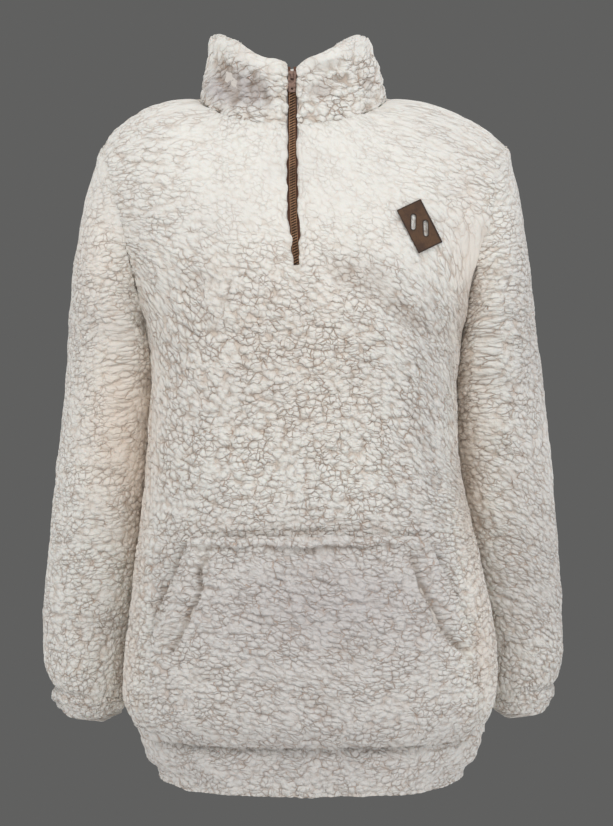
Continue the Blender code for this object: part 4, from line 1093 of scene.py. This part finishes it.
def worked_mesh(name, settings):
    """A piece's solid smoothed and refined, and which of its vertices are inside and at its cuts."""
    bm = welded(name)
    mark_sides(bm)
    smooth = {"levels": 2, "render_levels": 2, "use_creases": True}
    data = baked(name, mesh_of(name, bm), ("SUBSURF", smooth))
    bm = bmesh.new()
    bm.from_mesh(data)
    refined(bm, CLOTHS[name].cuts)
    inside = [v for v in bm.verts if not on_side(v, OUTER, RIM)]
    bmesh.ops.unsubdivide(bm, verts=inside, iterations=2)
    relaxed(bm, [v for v in bm.verts if not on_side(v, INNER, RIM)], 2)
    edges = [v for v in bm.verts if on_side(v, RIM) and not on_side(v, INNER)]
    others = neighbours_of(name)
    free = [v for v in edges if all(tree.find_nearest(v.co, SEWN_GAP)[0] is None for tree in others)]
    relaxed(bm, free, settings.edge_round)
    bm.normal_update()
    swell = {v: across_seam(v) * settings.edge_swell * pushed_over(name, v.co / MM) for v in edges}
    for vertex, offset in swell.items():
        vertex.co += offset
    bm.verts.index_update()
    inner, rim = (np.array([on_side(v, side) for v in bm.verts]) for side in (INNER, RIM))
    bm.to_mesh(data)
    bm.free()
    return data, inner, rim


def write_looks(cloth, data, points, sunk, away, inner):
    """Writes what the fleece material and the curls read at each vertex."""
    x, z = as_seen(points, 1 if cloth.node == "back" else -1)
    write_nap(data, *nap_of(cloth, points))
    write_attribute(data, "curl", "FLOAT", curl_of(cloth, x, z) * ~inner)
    # Painted warm bounce light and cool shade, with a faint warm tone on the chest.
    wash = patch_sum(WARM_BOUNCE_AND_TONE, x, z) - patch_sum(COOL_SHADE_SPOTS, x, z)
    write_attribute(data, "wash", "FLOAT", np.clip(wash, -1, 1))
    # Painted shade: deeper creases and stitches, and the grooves beside seams, are coloured darker.
    hollow = np.maximum(soft_step(0.6, 4.4, sunk), 0.28 * soft_step(3.5, 0.5, away))
    if cloth.node.startswith("sleeve"):
        hollow = np.clip(hollow + patch_sum(SLEEVE_SHADE, x, z), 0, 1)
    write_attribute(data, "hollow", "FLOAT", 0.9 * hollow)


def dress_cloth(name):
    """Makes one cloth piece: the solid's form, refined, creased and covered in curls."""
    cloth = CLOTHS[name]
    settings = bpy.context.scene.pullover_fleece
    data, inner, rim = worked_mesh(name, settings)
    points = read_points(data.vertices) / MM
    normals = read_points(data.vertex_normals, "vector")
    away = seam_distance(data, rim, ~inner)
    sunk = (pressed(cloth, points, normals) + lumps(points)) * ~inner - lifted(name, points, away)
    moved = settled(cloth, points, normals, away) - normals * sunk[:, None]
    moved = rounded_off(name, np.where(inner[:, None], points, moved))
    data.vertices.foreach_set("co", (moved * MM).astype(np.float32).ravel())
    write_looks(cloth, data, points, sunk, away, inner)
    data.update()
    depth = cloth.depth * MM * settings.curl_depth
    data = baked(name, data, ("NODES", {"node_group": relief_group(), "Socket_1": depth}))
    sides = np.empty(len(data.polygons), np.int32)
    data.polygons.foreach_get("material_index", sides)
    data.shade_smooth()
    piece = add_piece(f"{name}_fleece", data, ("fleece", "knit"), replaces=[cloth.node])
    data.polygons.foreach_set("material_index", (sides == INNER).astype(np.int32))


# ------------------------------------------------------------------ trims


def chain_path():
    """The zip chain's line on its front face, from the bottom up, in metres."""
    points = read_points(NODES["zip_chain"].data.vertices)
    levels = np.linspace(points[:, 2].min() + 2 * MM, points[:, 2].max(), 40)
    value = np.polynomial.polynomial.polyval
    middle = np.polynomial.polynomial.polyfit(points[:, 2], points[:, 0], 3)
    rows = np.unique(points[:, 2].round(4))
    faces = [points[np.abs(points[:, 2] - row) < 1 * MM][:, 1].min() for row in rows]
    face = np.interp(levels, rows, faces)
    kernel = np.ones(7) / 7
    face = np.convolve(np.pad(face, 3, mode="reflect", reflect_type="odd"), kernel, "valid")
    return [Vector((value(z, middle), y, z)) for z, y in zip(levels, face)]


def bar(bm, middle, along, sizes):
    """Adds a small rounded bar to a mesh, turned from lying across to lying along a line."""
    turn = Vector((1, 0, 0)).rotation_difference(Vector(along)).to_matrix().to_4x4()
    matrix = Matrix.Translation(middle) @ turn @ Matrix.Diagonal((*sizes, 1))
    bmesh.ops.create_uvsphere(bm, u_segments=6, v_segments=5, radius=0.5, matrix=matrix)


def coil_mesh(settings):
    """One loop of each half of the coil, repeated up the zip and bent to the chain's line."""
    pitch, wire = settings.tooth_pitch, settings.wire
    bm = bmesh.new()
    slope = 0.5
    for side in (-1, 1):
        start = side * 1.3 * MM * slope
        bar(bm, (side * 1.3 * MM, -0.1 * MM, start), (1, 0, slope), (3.5 * MM, wire * 1.2, wire))
        bar(bm, (side * 2.75 * MM, 0.3 * MM, start * 2.1), (0, 0, 1), (pitch * 1.1, wire, wire * 0.9))
    # A thin sheet behind the loops, painted dark as the shade between them.
    shade_sheet = Matrix.Translation((0, 0.75 * MM, 0)) @ Matrix.Diagonal((5.2 * MM, 0.3 * MM, pitch * 1.02, 1))
    bmesh.ops.create_cube(bm, size=1, matrix=shade_sheet)
    path = chain_path()
    size = sum((high - low).length for low, high in zip(path, path[1:]))
    repeat = {
        "count": int(size / pitch), "use_relative_offset": False, "use_constant_offset": True,
        "constant_offset_displace": (0, 0, pitch),
    }
    data = baked("zip_coil", mesh_of("zip_coil", bm), ("ARRAY", repeat))
    points = read_points(data.vertices)
    path = np.array([place[:] for place in path])
    steps = np.linalg.norm(np.diff(path, axis=0), axis=1)
    along = np.concatenate([[0], np.cumsum(steps)])
    run = np.gradient(path, along, axis=0)
    run /= np.linalg.norm(run, axis=1)[:, None]
    line = np.stack([np.interp(points[:, 2], along, path[:, k]) for k in range(3)], 1)
    lean = np.stack([np.interp(points[:, 2], along, run[:, k]) for k in range(3)], 1)
    inward = np.stack([np.zeros(len(lean)), lean[:, 2], -lean[:, 1]], 1)
    line[:, 0] += points[:, 0]
    line += inward * points[:, 1:2]
    data.vertices.foreach_set("co", line.astype(np.float32).ravel())
    # How deep each point lies behind the loops' front, for the painted shade.
    write_attribute(data, "deep", "FLOAT", soft_step(0.1, 0.5, points[:, 1] / MM))
    data.update()
    return data


# The leather patch from the front: its middle, turn, half width and half length, each slot's place
# and lean, half a slot's width and how far its middle line reaches. All are in millimetres.
PatchForm = namedtuple("PatchForm", "middle turn half_width half_length slots slot_half slot_reach")
SLOTS = ((-5.8, 3.9, radians(2)), (6.2, -1.8, radians(-2)))
PATCH = PatchForm((121, -138), radians(27), 13, 23, SLOTS, 2.05, 5.45)


def patch_distance(x, z):
    """Distance in from the patch's outline and slots at places on its face."""
    x, z = x - PATCH.middle[0], z - PATCH.middle[1]
    c, s = cos(PATCH.turn), sin(PATCH.turn)
    across, along = np.abs(x * c + z * s), np.abs(z * c - x * s)
    inside = np.minimum(PATCH.half_width - across, PATCH.half_length - along)
    for slot_x, slot_z, lean in PATCH.slots:
        off_x = (x - slot_x) - (z - slot_z) * sin(lean)
        off_z = np.clip(np.abs(z - slot_z) - PATCH.slot_reach, 0, None)
        inside = np.minimum(inside, np.hypot(off_x, off_z) - PATCH.slot_half)
    return inside


def patch_mesh():
    """The leather patch: its solid remeshed finely, with softened edges and slots."""
    fine = {"mode": "VOXEL", "voxel_size": 0.42 * MM, "adaptivity": 0.0}
    data = baked("patch", mesh_of("patch", welded("leather_patch")), ("REMESH", fine))
    bm = bmesh.new()
    bm.from_mesh(data)
    relaxed(bm, bm.verts, 3)
    bm.to_mesh(data)
    bm.free()
    points = read_points(data.vertices) / MM
    inside = patch_distance(points[:, 0], points[:, 2])
    write_attribute(data, "edge", "FLOAT", 0.9 * soft_step(1.7, 0.3, inside))
    data.shade_smooth()
    return data


# ------------------------------------------------------------------ operators


def dress(*names):
    for name in names:
        dress_cloth(name)
    return {"FINISHED"}


class PULLOVER_OT_panels(bpy.types.Operator):
    """Make the front and back panels"""

    bl_idname = "pullover.panels"
    bl_label = "Front and back"

    def execute(self, context):
        return dress("front", "back")


class PULLOVER_OT_sleeves(bpy.types.Operator):
    """Make both sleeves and their cuffs"""

    bl_idname = "pullover.sleeves"
    bl_label = "Sleeves and cuffs"

    def execute(self, context):
        return dress("sleeve_right", "sleeve_left", "cuff_right", "cuff_left")


class PULLOVER_OT_collar(bpy.types.Operator):
    """Make the stand-up collar"""

    bl_idname = "pullover.collar"
    bl_label = "Collar"

    def execute(self, context):
        return dress("collar")


class PULLOVER_OT_hem(bpy.types.Operator):
    """Make the band round the hem"""

    bl_idname = "pullover.hem"
    bl_label = "Hem band"

    def execute(self, context):
        return dress("hem_band")


class PULLOVER_OT_pocket(bpy.types.Operator):
    """Make the pouch pocket with its stitched edges"""

    bl_idname = "pullover.pocket"
    bl_label = "Pouch pocket"

    def execute(self, context):
        return dress("pocket")


class PULLOVER_OT_patch(bpy.types.Operator):
    """Make the slotted leather patch on the chest"""

    bl_idname = "pullover.patch"
    bl_label = "Leather patch"

    def execute(self, context):
        add_piece("chest_patch", patch_mesh(), ("leather",), replaces=["leather_patch"])
        return {"FINISHED"}


class PULLOVER_OT_zip(bpy.types.Operator):
    """Make the zip: its two tapes, the coil, and the finish of the slider and pull"""

    bl_idname = "pullover.zip"
    bl_label = "Zip"

    def execute(self, context):
        settings = context.scene.pullover_trim
        for side in ("right", "left"):
            node, name = f"zip_tape_{side}", f"tape_{side}"
            tape = add_piece(name, mesh_of(name, welded(node)), ("tape",), replaces=[node])
        coil = coil_mesh(settings)
        coil.shade_smooth()
        add_piece("zip_coil", coil, ("coil",), replaces=["zip_chain"])
        for node in ("zip_slider", "pull_tab"):
            for slot in NODES[node].material_slots:
                slot.material = material_of("metal")
        return {"FINISHED"}


MIDDLE = (0.013, 0, -0.30)  # what most lights point at
AROUND = (0.97, 0.97, 1.0)  # colour of the light from all round
SENSOR = 24  # the camera's, in millimetres

# Each light's place, what it points at, its width and height in metres, and its colour.
LIGHTS = {
    "key": ((-0.7, -2.0, 1.15), MIDDLE, (1.6, 1.3), (1.0, 0.985, 0.96)),
    "fill": ((1.9, -1.7, 0.1), MIDDLE, (1.2, 1.6), (0.95, 0.97, 1.0)),
    "top": ((0.1, -0.5, 1.9), (0, 0, -0.1), (1.6, 1.2), (1.0, 0.99, 0.97)),
    "back": ((0.9, 2.2, 1.0), MIDDLE, (1.6, 1.3), (1.0, 0.99, 0.97)),
}


def add_light(name, strength):
    place, target, size, tint = LIGHTS[name]
    light = bpy.data.lights.new(name, "AREA")
    light.shape, light.size, light.size_y = "RECTANGLE", *size
    light.energy, light.color = strength, tint
    lamp = add_object(name, light)
    lamp.location = place
    lamp.rotation_euler = (Vector(target) - Vector(place)).to_track_quat("-Z", "Y").to_euler()


def add_floor(settings):
    bm = bmesh.new()
    down = Matrix.Translation((0, 0, -settings.drop))
    bmesh.ops.create_circle(bm, cap_ends=True, segments=96, radius=settings.floor_radius, matrix=down)
    floor = add_object("floor", mesh_of("floor", bm))
    floor.data.materials.append(floor_material())


def studio_world(settings):
    """Soft light from all round, and the backdrop for what the camera sees past the garment."""
    world = bpy.data.worlds.new("studio")
    world.use_nodes = True
    world.node_tree.nodes.clear()
    wires = Wires(world.node_tree)
    seen = wires.add("ShaderNodeBackground", {"Color": (*settings.backdrop, 1), "Strength": 1.0})
    around = wires.add("ShaderNodeBackground", {"Color": (*AROUND, 1), "Strength": 0.72})
    path = wires.add("ShaderNodeLightPath")
    choice = {0: path.outputs["Is Camera Ray"], 1: around.outputs[0], 2: seen.outputs[0]}
    chosen = wires.add("ShaderNodeMixShader", choice)
    output = wires.add("ShaderNodeOutputWorld")
    wires.join(chosen.outputs[0], output.inputs["Surface"])
    return world


def garment_camera(settings):
    camera = bpy.data.cameras.new("camera")
    camera.sensor_fit, camera.sensor_height = "VERTICAL", SENSOR
    camera.lens = SENSOR * settings.distance / settings.view_height
    camera.clip_end = 50
    eye = add_object("camera", camera)
    eye.location = (EYE[0] * MM, -settings.distance, EYE[2] * MM)
    eye.rotation_euler = (pi / 2, 0, 0)
    return eye


class PULLOVER_OT_stage(bpy.types.Operator):
    """Make the floor, the soft lights, the backdrop and the camera"""

    bl_idname = "pullover.stage"
    bl_label = "Stage"

    def execute(self, context):
        scene, settings = context.scene, context.scene.pullover_stage
        add_floor(settings)
        scene.world = studio_world(settings)
        for name in LIGHTS:
            add_light(name, getattr(settings, name))
        scene.view_settings.view_transform = "Standard"
        scene.camera = garment_camera(settings)
        return {"FINISHED"}


OPERATORS = (
    PULLOVER_OT_panels,
    PULLOVER_OT_sleeves,
    PULLOVER_OT_collar,
    PULLOVER_OT_hem,
    PULLOVER_OT_pocket,
    PULLOVER_OT_patch,
    PULLOVER_OT_zip,
    PULLOVER_OT_stage,
)


class PULLOVER_PT_panel(bpy.types.Panel):
    """The pieces of the pullover and their settings"""

    bl_idname = "PULLOVER_PT_panel"
    bl_label = "Fleece pullover"
    bl_space_type = "VIEW_3D"
    bl_region_type = "UI"
    bl_category = "Pullover"

    def draw(self, context):
        for operator in OPERATORS:
            self.layout.operator(operator.bl_idname)
        for name, group in SETTINGS.items():
            box = self.layout.box()
            for key in group.__annotations__:
                box.prop(getattr(context.scene, name), key)


def register():
    for name, group in SETTINGS.items():
        bpy.utils.register_class(group)
        setattr(bpy.types.Scene, name, bpy.props.PointerProperty(type=group))
    for item in (*OPERATORS, PULLOVER_PT_panel):
        bpy.utils.register_class(item)


def unregister():
    for item in reversed((*OPERATORS, PULLOVER_PT_panel)):
        bpy.utils.unregister_class(item)
    for name, group in SETTINGS.items():
        delattr(bpy.types.Scene, name)
        bpy.utils.unregister_class(group)


def main():
    """Makes every piece."""
    register()
    for operator in OPERATORS:
        group, name = operator.bl_idname.split(".")
        getattr(getattr(bpy.ops, group), name)()
    bpy.context.view_layer.update()


if __name__ == "__main__":
    main()
